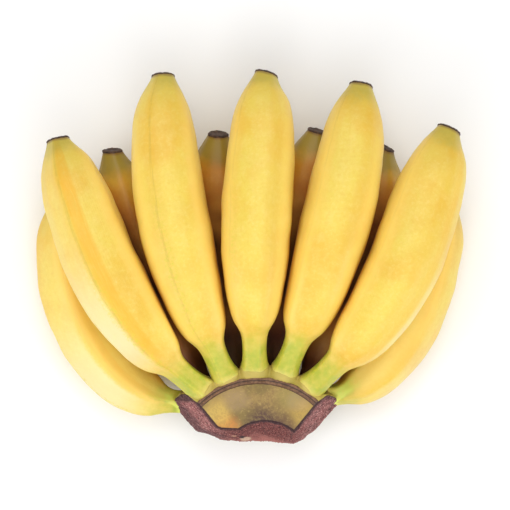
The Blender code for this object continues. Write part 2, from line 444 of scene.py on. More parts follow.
# %% Cross-section
RIDGES = 5
RIDGE_SHARPNESS = 2.2
RIDGES_AT_TIP = 1.45
RIDGES_AT_SHOULDER = 0.7
COLLAR_HEIGHT = 0.3 * MM
COLLAR_WIDTH = 0.8 * MM
ROOT_GIRTH = 0.45


def ridge_share(nodes, turn, given):
    """1 on each ridge and 0 half-way between two."""
    wave = nodes.times(nodes.math("SUBTRACT", turn, given["Ridge Turn"]), RIDGES)
    wave = nodes.math("MULTIPLY_ADD", nodes.math("COSINE", wave), 0.5, 0.5)
    return nodes.math("POWER", wave, RIDGE_SHARPNESS)


def peel_radius(nodes, girth, ridge, along, travelled, given):
    """How far the skin is from the middle line."""
    towards_tip = nodes.ramp(along, 0.72, 0.95, 1.0, RIDGES_AT_TIP)
    at_shoulder = nodes.ramp(along, 0.14, 0.34, RIDGES_AT_SHOULDER, 0.0)
    strength = nodes.math("ADD", towards_tip, at_shoulder)
    hollow = nodes.times(given["Ridge Height"], strength, nodes.rest(ridge))
    radius = nodes.times(girth, nodes.rest(hollow))

    collar = nodes.math("SUBTRACT", travelled, given["Collar At"])
    collar = nodes.math("DIVIDE", collar, COLLAR_WIDTH)
    collar = nodes.math("EXPONENT", nodes.times(collar, collar, -1.0))
    radius = nodes.math("MULTIPLY_ADD", collar, COLLAR_HEIGHT, radius)

    root = {"Value": travelled, "From Min": -ROOT_LENGTH * MM, "From Max": given["Collar At"]}
    root |= {"To Min": ROOT_GIRTH, "To Max": 1.0}
    root = nodes.add("ShaderNodeMapRange", root, interpolation_type="SMOOTHERSTEP").outputs[0]
    return nodes.times(radius, root)


def outward_at(nodes, turn, heading):
    """The direction away from the middle line; a turn of 0 is level, to the fruit's right."""
    side = nodes.vector_math("NORMALIZE", nodes.vector_math("CROSS_PRODUCT", heading, (0, 0, 1)))
    up = nodes.vector_math("CROSS_PRODUCT", side, heading)
    across = nodes.scaled(side, nodes.math("COSINE", turn))
    return nodes.vector_math("ADD", across, nodes.scaled(up, nodes.math("SINE", turn)))


print(RIDGES, "ridges, a collar", round(COLLAR_HEIGHT / MM, 2), "mm high")

# %% [markdown]
# No fruit is regular. A slow noise swells and pinches the body, a finer one dents it, and a seed
# moves both to another place for each fruit. The noise is lowered so far that it nearly always
# pinches, which keeps the peel inside the solid. The last ring is slanted as each tip is.

# %% Unevenness and tip
SWELL_SCALE = 45.0
DENT_SCALE = 150.0
DENT_SHARE = 0.12
NOISE_LEVEL = 0.62


def uneven_step(nodes, spot, share, given):
    """How far the skin stands out or in at a spot, in step with the girth there."""
    seed = given["Seed"]
    where = nodes.vector_math("ADD", spot, nodes.joined(seed, seed, seed))
    swell = nodes.math("SUBTRACT", nodes.noise(where, SWELL_SCALE, detail=1.0), NOISE_LEVEL)
    dents = nodes.math("SUBTRACT", nodes.noise(where, DENT_SCALE, detail=2.0), NOISE_LEVEL)
    uneven = nodes.math("MULTIPLY_ADD", dents, DENT_SHARE, swell)
    return nodes.times(uneven, nodes.times(given["Unevenness"], share))


def slant_step(nodes, turn, along, radius, given):
    """How far back along the fruit a point moves, so that the tip's end is slanted."""
    slant = given["Tip Slant"]
    lean = nodes.times(nodes.math("COSINE", turn), slant)
    lean = nodes.math("SUBTRACT", lean, nodes.math("ABSOLUTE", slant))
    return nodes.times(lean, radius, nodes.ramp(along, 0.90, 1.0))


print(f"swells every {1000 / SWELL_SCALE:.0f} mm or so, dents every {1000 / DENT_SCALE:.0f} mm")

# %% [markdown]
# Now the points move to their places, and the values for the material are stored. The fruits of the
# back row are lowered until their lowest point is a hair under the table, and whatever is under it
# is lifted back onto it. That presses a small flat into each belly, as its own weight does.

# %% Place the skin
# Name of the share, the input with its angle, and how far from that angle it ends and is full.
# The pale share is a painted sheen, the deep share a painted shade stripe beside a ridge.
SIDE_WINDOWS = (("pale", "Sheen Turn", 40.0, 30.0), ("deep", "Shade Stripe Turn", 13.0, 7.0))


def shape_skin(nodes, mesh, given):
    """Moves every point of the swept tube to its place on the peel."""
    along, turn, travelled = (kept(nodes, name) for name in ("along", "turn", "travelled"))
    heading = kept(nodes, "heading", "FLOAT_VECTOR")
    middle = kept(nodes, "middle", "FLOAT_VECTOR")
    share = girth_curve(nodes, along)
    girth = nodes.times(share, given["Full Radius"])
    ridge = ridge_share(nodes, turn, given)
    radius = peel_radius(nodes, girth, ridge, along, travelled, given)
    outward = outward_at(nodes, turn, heading)

    spot = nodes.vector_math("ADD", middle, nodes.scaled(outward, radius))
    uneven = nodes.scaled(outward, uneven_step(nodes, spot, share, given))
    spot = nodes.vector_math("ADD", spot, uneven)
    slanted = nodes.scaled(heading, slant_step(nodes, turn, along, radius, given))
    spot = nodes.vector_math("ADD", spot, slanted)
    mesh = nodes.add("GeometryNodeSetPosition", {"Geometry": mesh, "Position": spot}).outputs[0]
    mesh = stored(nodes, mesh, "ridge", "FLOAT", ridge)
    return store_sides(nodes, mesh, turn, girth, travelled, given)


def store_sides(nodes, mesh, turn, girth, travelled, given):
    """Stores the painted sheen, the painted shade stripe and the position on the unrolled skin, in
    millimetres.
    """
    for name, label, edge_deg, full_deg in SIDE_WINDOWS:
        towards = nodes.math("COSINE", nodes.math("SUBTRACT", turn, given[label]))
        edge, full = math.cos(math.radians(edge_deg)), math.cos(math.radians(full_deg))
        mesh = stored(nodes, mesh, name, "FLOAT", nodes.ramp(towards, edge, full))
    around = nodes.times(girth, 1 / MM)
    rightward = nodes.times(nodes.math("COSINE", turn), around)
    upward = nodes.times(nodes.math("SINE", turn), around)
    flat = nodes.joined(rightward, upward, nodes.times(travelled, 1 / MM))
    return stored(nodes, mesh, "skin", "FLOAT_VECTOR", flat)


def lie_on_table(nodes, mesh, given):
    """Lowers a fruit of the back row onto the table and presses its belly flat where it rests."""
    height = nodes.split(nodes.add("GeometryNodeInputPosition").outputs[0])[2]
    lowest = {"Geometry": mesh, "Attribute": height}
    lowest = nodes.add("GeometryNodeAttributeStatistic", lowest).outputs["Min"]
    down = nodes.times(given["Lies On Table"], -1.0)
    drop = nodes.times(nodes.math("ADD", lowest, given["Press"]), down)
    offset = {"Geometry": mesh, "Offset": nodes.joined(z=drop)}
    mesh = nodes.add("GeometryNodeSetPosition", offset).outputs[0]
    x, y, z = nodes.split(nodes.add("GeometryNodeInputPosition").outputs[0])
    pressed = nodes.joined(x, y, nodes.math("MAXIMUM", z, 0.0))
    return nodes.add("GeometryNodeSetPosition", {"Geometry": mesh, "Position": pressed}).outputs[0]


# %% The whole peel tree
def build_peel_tree():
    """The tree that grows one fruit's peel from its middle line."""
    tree, nodes, given, last = new_tree("banana_peel", PEEL_INPUTS)
    mesh = swept_tube(nodes, rings_along(nodes, given), given)
    mesh = shape_skin(nodes, mesh, given)
    mesh = lie_on_table(nodes, mesh, given)
    mesh = nodes.add("GeometryNodeRealizeInstances", {"Geometry": mesh}).outputs[0]
    mesh = nodes.add("GeometryNodeSetShadeSmooth", {"Geometry": mesh}).outputs[0]
    finish = {"Geometry": mesh, "Material": given["Peel"]}
    tree.links.new(nodes.add("GeometryNodeSetMaterial", finish).outputs[0], last.inputs[0])
    return tree


peel_tree = build_peel_tree()
print("the peel tree has", len(peel_tree.nodes), "nodes")

# %% [markdown]
# To use a tree, an object gets a Geometry Nodes modifier, and each named input is set by its
# socket's identifier. The evaluated result is then turned into a plain mesh, and the curve that it
# grew from goes away, with its modifier.


# %% Run a tree
def evaluated_mesh(source):
    """What an object's modifiers make of it, as a plain mesh, after which the object goes away."""
    bpy.context.view_layer.update()
    graph = bpy.context.evaluated_depsgraph_get()
    mesh = bpy.data.meshes.new_from_object(source.evaluated_get(graph), depsgraph=graph)
    bpy.data.objects.remove(source)
    return mesh


def grow(source, name, tree, values):
    """The plain mesh object that a geometry tree makes of the source object, which is removed."""
    modifier = source.modifiers.new("grow", "NODES")
    modifier.node_group = tree
    for item in tree.interface.items_tree:
        if item.in_out == "INPUT" and item.name in values:
            modifier[item.identifier] = values[item.name]
    mesh = evaluated_mesh(source)
    mesh.name = name
    made = bpy.data.objects.new(name, mesh)
    bpy.context.scene.collection.objects.link(made)
    return made


def triangles(piece):
    """How many triangles a piece has."""
    return sum(len(polygon.vertices) - 2 for polygon in piece.data.polygons)


def points_of(mesh):
    """All points of a mesh as an array."""
    co = np.empty(len(mesh.vertices) * 3, np.float32)
    mesh.vertices.foreach_get("co", co)
    return co.reshape(-1, 3).astype(float)


def normals_of(mesh):
    """The direction that each point of a mesh faces."""
    normals = np.empty(len(mesh.vertices) * 3, np.float32)
    mesh.vertex_normals.foreach_get("vector", normals)
    return normals.reshape(-1, 3).astype(float)


# %% [markdown]
# ## The peel's finish
#
# A ripe lady finger's peel is a warm, slightly waxy yellow. It is never one colour: the handle stays
# green, the tip is olive, the ridges carry a deeper yellow with a faint line on the crest, and the
# whole skin has soft blotches and fine lengthwise fibres. One could paint all that on an image, but
# eleven bent fruits would need eleven unwrapped images. Noise and ramps over the values that the
# tree kept on the mesh follow each fruit whatever way it bends.
#
# Two kinds of mixing do nearly all the work: `mixed` lays one colour over another by a share, and
# `dimmed` multiplies by a colour, as shade and stain do.


# %% Colour helpers
def linear(hex_colour):
    """The linear RGBA of a colour written as on a screen, such as "f6d05a"."""
    channels = [int(hex_colour[i : i + 2], 16) / 255 for i in (0, 2, 4)]
    return (*[c / 12.92 if c <= 0.04045 else ((c + 0.055) / 1.055) ** 2.4 for c in channels], 1.0)


def mixed(nodes, share, first, second, blend="MIX"):
    """The second colour over the first one, by a share."""
    inputs = {0: share, 6: first, 7: second}
    return nodes.add("ShaderNodeMix", inputs, data_type="RGBA", blend_type=blend).outputs[2]


def dimmed(nodes, share, colour, tint):
    """The colour multiplied by a tint, by a share."""
    return mixed(nodes, share, colour, linear(tint), "MULTIPLY")


def attribute(nodes, name, output="Fac"):
    """A value that the mesh carries."""
    return nodes.add("ShaderNodeAttribute", attribute_name=name).outputs[output]


def new_material(name, roughness):
    """A material with its node helper and its shader; the roughness holds until one is linked."""
    material = bpy.data.materials.new(name)
    material.use_nodes = True
    nodes = Nodes(material.node_tree)
    shader = material.node_tree.nodes["Principled BSDF"]
    shader.inputs["Roughness"].default_value = roughness
    return material, nodes, shader


def bumpy(nodes, shader, height, strength, depth):
    """Fine relief on a shader, from a height between 0 and 1."""
    bump = {"Strength": strength, "Distance": depth, "Height": height}
    bump = nodes.add("ShaderNodeBump", bump).outputs[0]
    nodes.tree.links.new(bump, shader.inputs["Normal"])


print("the peel's ground yellow, linear:", [round(c, 2) for c in linear("ebcf56")[:3]])

# %% [markdown]
# The peel's patterns come first, because every colour reads them. Their scales are in waves per
# metre, so 38 is a cloud every 26 mm and 620 a speck every 1.6 mm. The fibres are noise on the
# unrolled skin, squeezed along the fruit, which draws it out into streaks. `wander` is how far along
# the fruit a spot is, moved by the clouds, so that no colour ends on an even ring.


# %% Patterns on the peel
def peel_patterns(nodes):
    """The values and noises that the peel's colours are mixed by."""
    place = nodes.add("ShaderNodeTexCoord").outputs["Object"]
    skin = attribute(nodes, "skin", "Vector")
    along = attribute(nodes, "along")
    broad = nodes.noise(place, 38.0, detail=2.0)
    blotch = nodes.noise(place, 210.0, detail=4.0, roughness=0.6)
    unrolled = nodes.vector_math("MULTIPLY", skin, (1.0, 1.0, 0.07))
    return SimpleNamespace(
        skin=skin,
        height=nodes.split(place)[2],
        along=along,
        ridge=attribute(nodes, "ridge"),
        open=attribute(nodes, "open"),
        inner=attribute(nodes, "inner"),
        broad=broad,
        blotch=blotch,
        fibres=nodes.noise(unrolled, 1.3, detail=4.0, roughness=0.6),
        mottle=nodes.noise(place, 620.0, detail=5.0, roughness=0.75),
        pores=nodes.noise(place, 1500.0, detail=2.0),
        wander=nodes.wander(nodes.wander(along, broad, 0.10), blotch, 0.05),
    )


# %% [markdown]
# The ground is two yellows in broad clouds. Over it go thin layers, each by one pattern: paler
# blotches, warm fibres, orange and cream mottling, and a deeper yellow towards the ridges. On the
# outermost fruits, one side carries a painted creamy sheen, and a narrow stripe beside it, on the
# other side of a ridge, is painted shade in a strong warm yellow.

# %% Ground and sides
PEEL_GROUND = ("ebcf56", "e9be42")
# The pattern, from where to where it counts, the layer's share at both, and the layer's colour.
PEEL_LAYERS = (
    ("blotch", 0.42, 0.75, 0.0, 0.35, "f2d878"),
    ("fibres", 0.55, 0.80, 0.0, 0.16, "e2ac3c"),
    ("mottle", 0.50, 0.68, 0.0, 0.24, "dfae3a"),
    ("mottle", 0.32, 0.50, 0.22, 0.0, "f8e48c"),
    ("ridge", 0.15, 0.80, 0.0, 0.22, "e6b244"),
)


def ground_yellow(nodes, at):
    """The yellow that the whole peel starts from."""
    colour = mixed(nodes, nodes.ramp(at.broad, 0.38, 0.70), *(linear(paint) for paint in PEEL_GROUND))
    for pattern, low, high, share_low, share_high, paint in PEEL_LAYERS:
        share = nodes.ramp(getattr(at, pattern), low, high, share_low, share_high)
        colour = mixed(nodes, share, colour, linear(paint))
    return colour


def painted_side_light(nodes, at, colour):
    """The painted cream sheen and the painted deep yellow shade stripe, both fading out towards the
    handle.
    """
    pale = nodes.times(attribute(nodes, "pale"), nodes.ramp(at.along, 0.12, 0.30))
    pale = nodes.times(pale, nodes.ramp(at.along, 0.30, 0.66, 1.0, 0.12))
    colour = mixed(nodes, pale, colour, linear("f4e6b4"))
    deep = nodes.times(attribute(nodes, "deep"), nodes.ramp(at.along, 0.14, 0.26))
    deep = nodes.times(deep, nodes.ramp(at.fibres, 0.3, 0.6, 0.6, 1.0))
    return mixed(nodes, deep, colour, linear("eeb524"))


print(len(PEEL_LAYERS), "thin layers over", len(PEEL_GROUND), "yellows")

# %% [markdown]
# A banana ripens from its body outwards, so the handle stays green longest and the tip turns olive.
# The handles of the two low outer fruits lie half hidden beside the crown, between fully open and
# hidden: there the green reaches further, and it is paler, a painted light that lifts them out of
# their shade. The fruits inside the back row have mossy tips, and every collar is yellow where it
# leaves the crown.

# %% Handle and tip
FRESH_GREEN = "aeb738"
LIFTED_GREEN = "dde664"
HALF_HIDDEN_BELOW = (33.0 * MM, 40.0 * MM)
HALF_HIDDEN_REACH = 0.05


def handle_and_tip(nodes, at, colour):
    """Green at the handle, olive at the tip; their shares are kept for the shade to read."""
    half_hidden = nodes.times(nodes.ramp(at.open, 0.30, 0.45), nodes.ramp(at.open, 0.64, 0.80, 1.0, 0.0))
    half_hidden = nodes.times(half_hidden, nodes.ramp(at.height, *HALF_HIDDEN_BELOW, 1.0, 0.0))
    reach = nodes.math("MULTIPLY_ADD", half_hidden, -HALF_HIDDEN_REACH, at.wander)
    green = nodes.ramp(reach, 0.07, 0.20, 1.0, 0.0)
    at.green = nodes.times(green, nodes.ramp(at.blotch, 0.35, 0.65, 1.0, 0.72))
    # Painted light: half-hidden handles get a paler green that lifts them out of their shade.
    paint = mixed(nodes, half_hidden, linear(FRESH_GREEN), linear(LIFTED_GREEN))
    colour = mixed(nodes, at.green, colour, paint)

    colour = mixed(nodes, nodes.ramp(at.wander, 0.82, 0.94, 0.0, 0.28), colour, linear("d6b434"))
    at.olive = nodes.ramp(at.wander, 0.91, 0.99, 0.0, 0.6)
    colour = mixed(nodes, at.olive, colour, linear("aaa03a"))
    mossy = nodes.times(at.inner, nodes.ramp(at.wander, 0.87, 0.95), 0.85)
    colour = mixed(nodes, mossy, colour, linear("a6a345"))
    collar = nodes.ramp(at.along, 0.006, 0.035, 0.7, 0.0)
    return mixed(nodes, collar, colour, linear("e3cf74"))


# %% [markdown]
# The ridges stay a little green and carry a thin darker line on their crest, where they rubbed
# against leaves. On this hand both show only on the side that grew to the left. The last bit of skin,
# next to the dried blossom end, is brown.


# %% Ridge lines and the tip's brown edge
def ridge_lines(nodes, at, colour):
    """Green specks and a crest line on the ridges of the left side, and a brown edge at the tip."""
    leftward = nodes.ramp(nodes.split(at.skin)[0], -3.0, 6.0, 1.0, 0.1)
    fresh = nodes.times(nodes.ramp(at.ridge, 0.35, 0.9), nodes.ramp(at.mottle, 0.44, 0.60))
    fresh = nodes.times(fresh, leftward, nodes.ramp(at.wander, 0.35, 0.72, 0.5, 0.0))
    colour = mixed(nodes, fresh, colour, linear("d3cc3e"))
    crest = nodes.times(nodes.ramp(at.ridge, 0.95, 1.0, 0.0, 0.24), nodes.ramp(at.fibres, 0.35, 0.55))
    colour = mixed(nodes, nodes.times(crest, leftward), colour, linear("a88c30"))
    edge = nodes.ramp(nodes.wander(at.along, at.blotch, 0.012), 0.988, 0.997, 0.0, 1.0)
    return mixed(nodes, nodes.times(edge, 0.7), colour, linear("8a6a38"))


# %% [markdown]
# Where fruits face each other closely, light bounces from skin to skin, and the finish paints it into
# the colour: half-open flanks get a painted warm glow, narrower gaps a painted orange shade, and the
# deepest places a painted brown shade. The share of open space round a spot, `open`, is measured
# further down and drives all three. The fruits inside the back row, marked `inner`, get painted shade
# too: duller all over and brown at their handles.


# %% Shade between the fruits
def shaded(nodes, at, colour):
    """The colour with painted light and shade between neighbours: a warm glow first, then orange, then
    brown.
    """
    grown = nodes.math("MAXIMUM", at.green, at.olive)
    # Painted light: a warm glow on the half-open flanks.
    glow = nodes.times(nodes.ramp(at.open, 0.25, 0.45), nodes.ramp(at.open, 0.75, 0.97, 1.0, 0.0))
    glow = nodes.times(glow, nodes.rest(grown), nodes.rest(at.inner), 0.55)
    colour = mixed(nodes, glow, colour, linear("ffdc74"))
    # Painted shade on the inner fruits of the back row: brown at their handles and duller all over.
    inner_handle_shade = nodes.times(at.inner, nodes.ramp(at.along, 0.14, 0.32, 1.0, 0.0))
    inner_shade = nodes.times(at.inner, nodes.ramp(at.broad, 0.2, 0.8, 0.7, 1.0))
    # Painted shade: orange in narrow gaps, dark brown in the deepest places.
    narrow_shade = nodes.ramp(at.open, 0.08, 0.42, 0.75, 0.0)
    narrow_shade = nodes.times(narrow_shade, nodes.ramp(at.green, 0.0, 1.0, 1.0, 0.3))
    deepest = nodes.ramp(at.open, 0.03, 0.21, 1.0, 0.0)
    shades = ((inner_handle_shade, "86622f"), (inner_shade, "dec08a"), (narrow_shade, "d8903e"), (deepest, "3c2610"))
    for share, tint in shades:
        colour = dimmed(nodes, share, colour, tint)
    return colour


# %% [markdown]
# The surface is satin rather than glossy, rougher in the blotches and dull where it is hidden. Fibres,
# blotches and pores give it a relief of a fraction of a millimetre. A little light passes into the
# peel and comes out again nearby, red further than blue, which softens the shading as on the real
# skin. These three numbers are the same all over, so they are set on the shader itself.

# %% Peel material
PEEL_ROUGHNESS = 0.48
PEEL_RELIEF = 0.4 * MM
LIGHT_INTO_PEEL = 0.18
LIGHT_REACH = 2.2 * MM


def build_peel_material():
    material, nodes, shader = new_material("banana_peel", PEEL_ROUGHNESS)
    at = peel_patterns(nodes)
    colour = ground_yellow(nodes, at)
    for layer in (painted_side_light, handle_and_tip, ridge_lines, shaded):
        colour = layer(nodes, at, colour)
    nodes.tree.links.new(colour, shader.inputs["Base Color"])

    roughness = nodes.math("ADD", at.blotch, nodes.times(at.fibres, 0.5))
    roughness = nodes.ramp(roughness, 0.5, 1.1, 0.40, 0.56)
    roughness = nodes.math("MAXIMUM", roughness, nodes.ramp(at.open, 0.05, 0.35, 0.95, 0.4))
    nodes.tree.links.new(roughness, shader.inputs["Roughness"])
    relief = nodes.math("MULTIPLY_ADD", at.fibres, 0.9, nodes.times(at.pores, 0.25))
    relief = nodes.math("MULTIPLY_ADD", at.blotch, 0.8, relief)
    bumpy(nodes, shader, relief, 0.22, PEEL_RELIEF)
    shader.inputs["Subsurface Weight"].default_value = LIGHT_INTO_PEEL
    shader.inputs["Subsurface Radius"].default_value = (1.0, 0.55, 0.15)
    shader.inputs["Subsurface Scale"].default_value = LIGHT_REACH
    return material


peel_finish = build_peel_material()
print("the peel's finish has", len(peel_finish.node_tree.nodes), "nodes")

# %% [markdown]
# ### Grow the eleven fruits
#
# Each fruit replaces its plain solid. The outlines are compared with the solid's own box, which
# shows that the peel stayed where the solid is. The numbers that stand out are at the handles: each
# root runs a few millimetres on into the crown, where the solid's handle ends outside it.

# %% Grow the fruits
PEEL_UNEVENNESS = 2.2 * MM
SEED_STEP = 0.37


def peel_values(fruit, number):
    """What the tree is given for one fruit."""
    return {
        "Full Radius": fruit.radius * MM,
        "Ridge Turn": math.radians(fruit.ridge_turn_deg),
        "Ridge Height": fruit.ridge_height,
        "Tip Slant": fruit.tip_slant,
        "Sheen Turn": math.radians(fruit.sheen_turn_deg),
        "Shade Stripe Turn": math.radians(fruit.shade_stripe_turn_deg),
        "Handle Length": fruit.handle * MM,
        "Collar At": collar_at(fruit) * MM,
        "Unevenness": PEEL_UNEVENNESS,
        "Seed": SEED_STEP * number,
        "Lies On Table": float(fruit.node.startswith("back")),
        "Peel": peel_finish,
    }


fruits = {}
for number, fruit in enumerate(FRUITS):
    peel = grow(middle_line(fruit), fruit.node + "_peel", peel_tree, peel_values(fruit, number))
    # Each fruit's painted sheen and painted shade stripe are scaled by its tinted strength.
    for name, *_ in SIDE_WINDOWS:
        for item in peel.data.attributes[name].data:
            item.value *= fruit.tinted
    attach(peel, "root")
    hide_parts(fruit.node)
    fruits[fruit.node] = peel
    low, high = (np.array(corner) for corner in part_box(fruit.node))
    points = points_of(peel.data)
    proud = np.concatenate([low - points.min(0), points.max(0) - high]) / MM
    print(fruit.node, triangles(peel), "triangles; proud of the solid's box, mm:", np.round(proud, 1))

# %% [markdown]
# ## Blossom ends
#
# Each tip ends in what is left of the flower: a thin, hard, dark brown disc with a lip that stands a
# little proud of the peel. It is built on the peel's own last ring, so it follows the tip's slant,
# and noise makes its edge ragged and its middle hollow and lumpy.

# %% Blossom material
BLOSSOM_RELIEF = 0.4 * MM


def build_blossom_material():
    material, nodes, shader = new_material("dried_blossom", 0.75)
    place = nodes.add("ShaderNodeTexCoord").outputs["Object"]
    lumps = nodes.noise(place, 700.0, detail=4.0, roughness=0.65)
    crumbs = nodes.noise(place, 2600.0, detail=2.0)
    colour = mixed(nodes, nodes.ramp(lumps, 0.35, 0.7), linear("30211b"), linear("5e4434"))
    colour = mixed(nodes, nodes.ramp(crumbs, 0.6, 0.8, 0.0, 0.5), colour, linear("96785a"))
    nodes.tree.links.new(colour, shader.inputs["Base Color"])
    bumpy(nodes, shader, nodes.math("MULTIPLY_ADD", crumbs, 0.4, lumps), 0.5, BLOSSOM_RELIEF)
    return material


blossom_finish = build_blossom_material()
print("the blossom ends' finish has", len(blossom_finish.node_tree.nodes), "nodes")

# %% [markdown]
# The disc's section is a list of steps: how large each loop is, as a share of the peel's last ring,
# and how far out it lies along the tip's direction, in millimetres. The first loops lie inside the
# peel, the middle ones make the lip, and the last ones the hollow.

# %% Blossom ends
BLOSSOM_STEPS = (
    (0.94, -0.4), (1.01, -0.2), (1.05, 0.15), (1.02, 0.55),
    (0.90, 0.85), (0.74, 0.80), (0.50, 0.40), (0.28, 0.35),
)
CENTRE_LUMP = 0.1
RAGGED_LIP = 0.12


def noise_at(points, scale, seed=0.0):
    """Smooth noise from -1 to 1 at each point; scale may differ by axis and is in waves per mm."""
    offset = Vector((seed, seed * 1.7, seed * 0.3))
    return np.array([noise.noise(Vector(p) + offset) for p in points * np.array(scale)])


def blossom_loops(ring, heading, number):
    """The disc's loops of points in mm, out along its heading from the peel's last ring."""
    middle = ring.mean(0)
    for share, out in BLOSSOM_STEPS:
        spots = middle + (ring - middle) * share + heading * out
        ragged = noise_at(spots, 0.55, 3.1 * number) * 0.25 + noise_at(spots, 1.6, 7.7 * number) * 0.12
        lifted = heading * ragged[:, None] * (out > 0)
        yield spots + lifted + (ring - middle) * RAGGED_LIP * ragged[:, None]


def blossom_end(fruit, number):
    """The dried disc on a fruit's tip, on the last ring of its peel."""
    ring = points_of(fruits[fruit.node].data)[-SIDES:] / MM
    heading = np.array(direction(*fruit.points))
    bm = bmesh.new()
    loops = []
    for spots in blossom_loops(ring, heading, number):
        loops.append([bm.verts.new(spot * MM) for spot in spots])
    for near, far in zip(loops, loops[1:]):
        for i in range(SIDES):
            bm.faces.new((near[i], near[(i + 1) % SIDES], far[(i + 1) % SIDES], far[i]))
    ends = ((loops[0], BLOSSOM_STEPS[0][1]), (loops[-1], BLOSSOM_STEPS[-1][1] + CENTRE_LUMP))
    for loop, out in ends:
        centre = bm.verts.new((ring.mean(0) + heading * out) * MM)
        for i in range(SIDES):
            bm.faces.new((loop[i], loop[(i + 1) % SIDES], centre))
    bmesh.ops.recalc_face_normals(bm, faces=bm.faces)
    made = object_from(fruit.node + "_blossom_end", bm)
    made.data.shade_smooth()
    made.data.materials.append(blossom_finish)
    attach(made, "root")
    return made


def object_from(name, bm):
    """A scene object from a mesh under construction, which is used up."""
    mesh = bpy.data.meshes.new(name)
    bm.to_mesh(mesh)
    bm.free()
    made = bpy.data.objects.new(name, mesh)
    bpy.context.scene.collection.objects.link(made)
    return made


blossoms = [blossom_end(fruit, number) for number, fruit in enumerate(FRUITS)]
print(len(blossoms), "blossom ends of", triangles(blossoms[0]), "triangles")

# %% [markdown]
# ## The crown
#
# The crown is a curved slab of banana stalk. Seen from above it has a smooth olive patch of the
# stalk's skin, a corky arc where the leaf-like bract broke off, short necks that swell out to meet
# each fruit, and all round the side away from the fruits a dried, purple-brown knife cut.
#
# One could model it as a single cage of faces, but necks that run into each other in sharp notches
# are awkward to build by hand. Instead we make simple closed solids, trim each with the same knife
# planes, and let a voxel remesh melt them into one skin. Numbers with NumPy then add the relief.
#
# All measurements are in millimetres and degrees. The core is an outline turned round the stalk's
# axis, given as steps of reach from the axis and height, from the top's middle round to the
# bottom's. Each knife cut is a bearing from the crown's middle (0 is straight away from the fruits)
# and how far out the cut is at a lower and at an upper height.

# %% The crown's measurements
STALK_AXIS = (1.5, -94.0)
CORE_OUTLINE = (
    (0.0, 43.8),
    (20.0, 45.0),
    (34.0, 45.6),
    (38.2, 45.5),
    (39.0, 44.4),
    (40.4, 43.2),
    (41.8, 41.0),
    (42.2, 38.0),
    (42.4, 31.5),
    (42.8, 27.0),
    (42.6, 21.0),
    (41.6, 16.0),
    (38.5, 12.4),
    (32.0, 10.8),
    (20.0, 10.2),
    (0.0, 10.1),
)
CROWN_MIDDLE = (0.0, -66.0)
UPPER_CUT_HEIGHT = 46.0
LOWER_CUT_HEIGHT = 22.0
KNIFE_CUTS = (
    (-50.0, 30.6, 20.4),
    (-19.0, 23.1, 16.5),
    (-3.0, 20.3, 13.0),
    (33.0, 27.8, 21.0),
    (50.0, 30.8, 22.0),
)
core_height = CORE_OUTLINE[0][1] - CORE_OUTLINE[-1][1]
print(f"core {core_height:.1f} mm high in its middle, {len(KNIFE_CUTS)} knife cuts")


# %% Knife planes
def knife_planes():
    """(a point, the outward direction) of every flat knife cut: an upright one and a leaning one."""
    planes = []
    for bearing_deg, lower, upper in KNIFE_CUTS:
        bearing = math.radians(bearing_deg)
        level_out = Vector((math.sin(bearing), -math.cos(bearing), 0))
        point = Vector((*CROWN_MIDDLE, LOWER_CUT_HEIGHT)) + level_out * lower
        lean = (lower - upper) / (UPPER_CUT_HEIGHT - LOWER_CUT_HEIGHT)
        planes.append((point, level_out))
        planes.append((point, (level_out + Vector((0, 0, lean))).normalized()))
    return planes


def trim(bm):
    """Cuts away what lies beyond each knife plane and closes the cuts."""
    for point, outward in knife_planes():
        cut = {"geom": bm.verts[:] + bm.edges[:] + bm.faces[:], "plane_co": point, "plane_no": outward}
        cut = bmesh.ops.bisect_plane(bm, **cut, clear_outer=True)
        edges = [item for item in cut["geom_cut"] if isinstance(item, bmesh.types.BMEdge)]
        if edges:
            bmesh.ops.edgenet_fill(bm, edges=edges)
    bmesh.ops.recalc_face_normals(bm, faces=bm.faces)


# %% [markdown]
# Spin turns the core's outline round the stalk's axis. The last points of the turn meet the first
# ones, so doubles are merged. At both sides the core reaches further out, where the two arms of the
# cut run past the outermost fruits.

# %% Core
CORE_SECTORS = 96
ARMS_FROM_REACH = 41.0
ARMS_BELOW = 42.5
ARM_BEARINGS_DEG = (42.0, 47.0)
LEFT_ARM_REACH = 4.4
RIGHT_ARM_REACH = 2.6


def smooth_share(value, low, high):
    """From 0 at low to 1 at high, smoothly."""
    t = np.clip((value - low) / (high - low), 0, 1)
    return t * t * (3 - 2 * t)


def core_solid():
    """The stalk itself, its outline turned round the stalk's axis."""
    bm = bmesh.new()
    outline = [bm.verts.new((across, 0, height)) for across, height in CORE_OUTLINE]
    edges = [bm.edges.new(pair) for pair in zip(outline, outline[1:])]
    spin = {"geom": outline + edges, "axis": (0, 0, 1), "cent": (0, 0, 0), "angle": 2 * math.pi}
    bmesh.ops.spin(bm, **spin, steps=CORE_SECTORS, use_merge=True)
    bmesh.ops.remove_doubles(bm, verts=bm.verts, dist=0.001)
    for vert in bm.verts:
        reach = vert.co.xy.length
        if reach > ARMS_FROM_REACH and vert.co.z < ARMS_BELOW:
            bearing_deg = math.degrees(abs(math.atan2(vert.co.x, vert.co.y)))
            arm = LEFT_ARM_REACH if vert.co.x < 0 else RIGHT_ARM_REACH
            out = arm * smooth_share(bearing_deg, *ARM_BEARINGS_DEG)
            vert.co.xy *= (reach + out) / reach
    bmesh.ops.translate(bm, verts=bm.verts, vec=(*STALK_AXIS, 0))
    return bm


core = core_solid()
trim(core)
core = object_from("core", core)
print("core", len(core.data.vertices), "points after the knife")

# %% [markdown]
# The round scoop in the middle of the cut side is taken out with a Boolean, because a leaning
# cylinder is all that is needed to describe it. The necks come after it, so it can't touch them.

# %% Scoop
SCOOP_RADIUS = 21.5
SCOOP_LENGTH = 90.0
SCOOP_SIDES = 96
SCOOP_AXIS_AT = (4.5, -97.8)
SCOOP_LEAN_DEG = 21.0

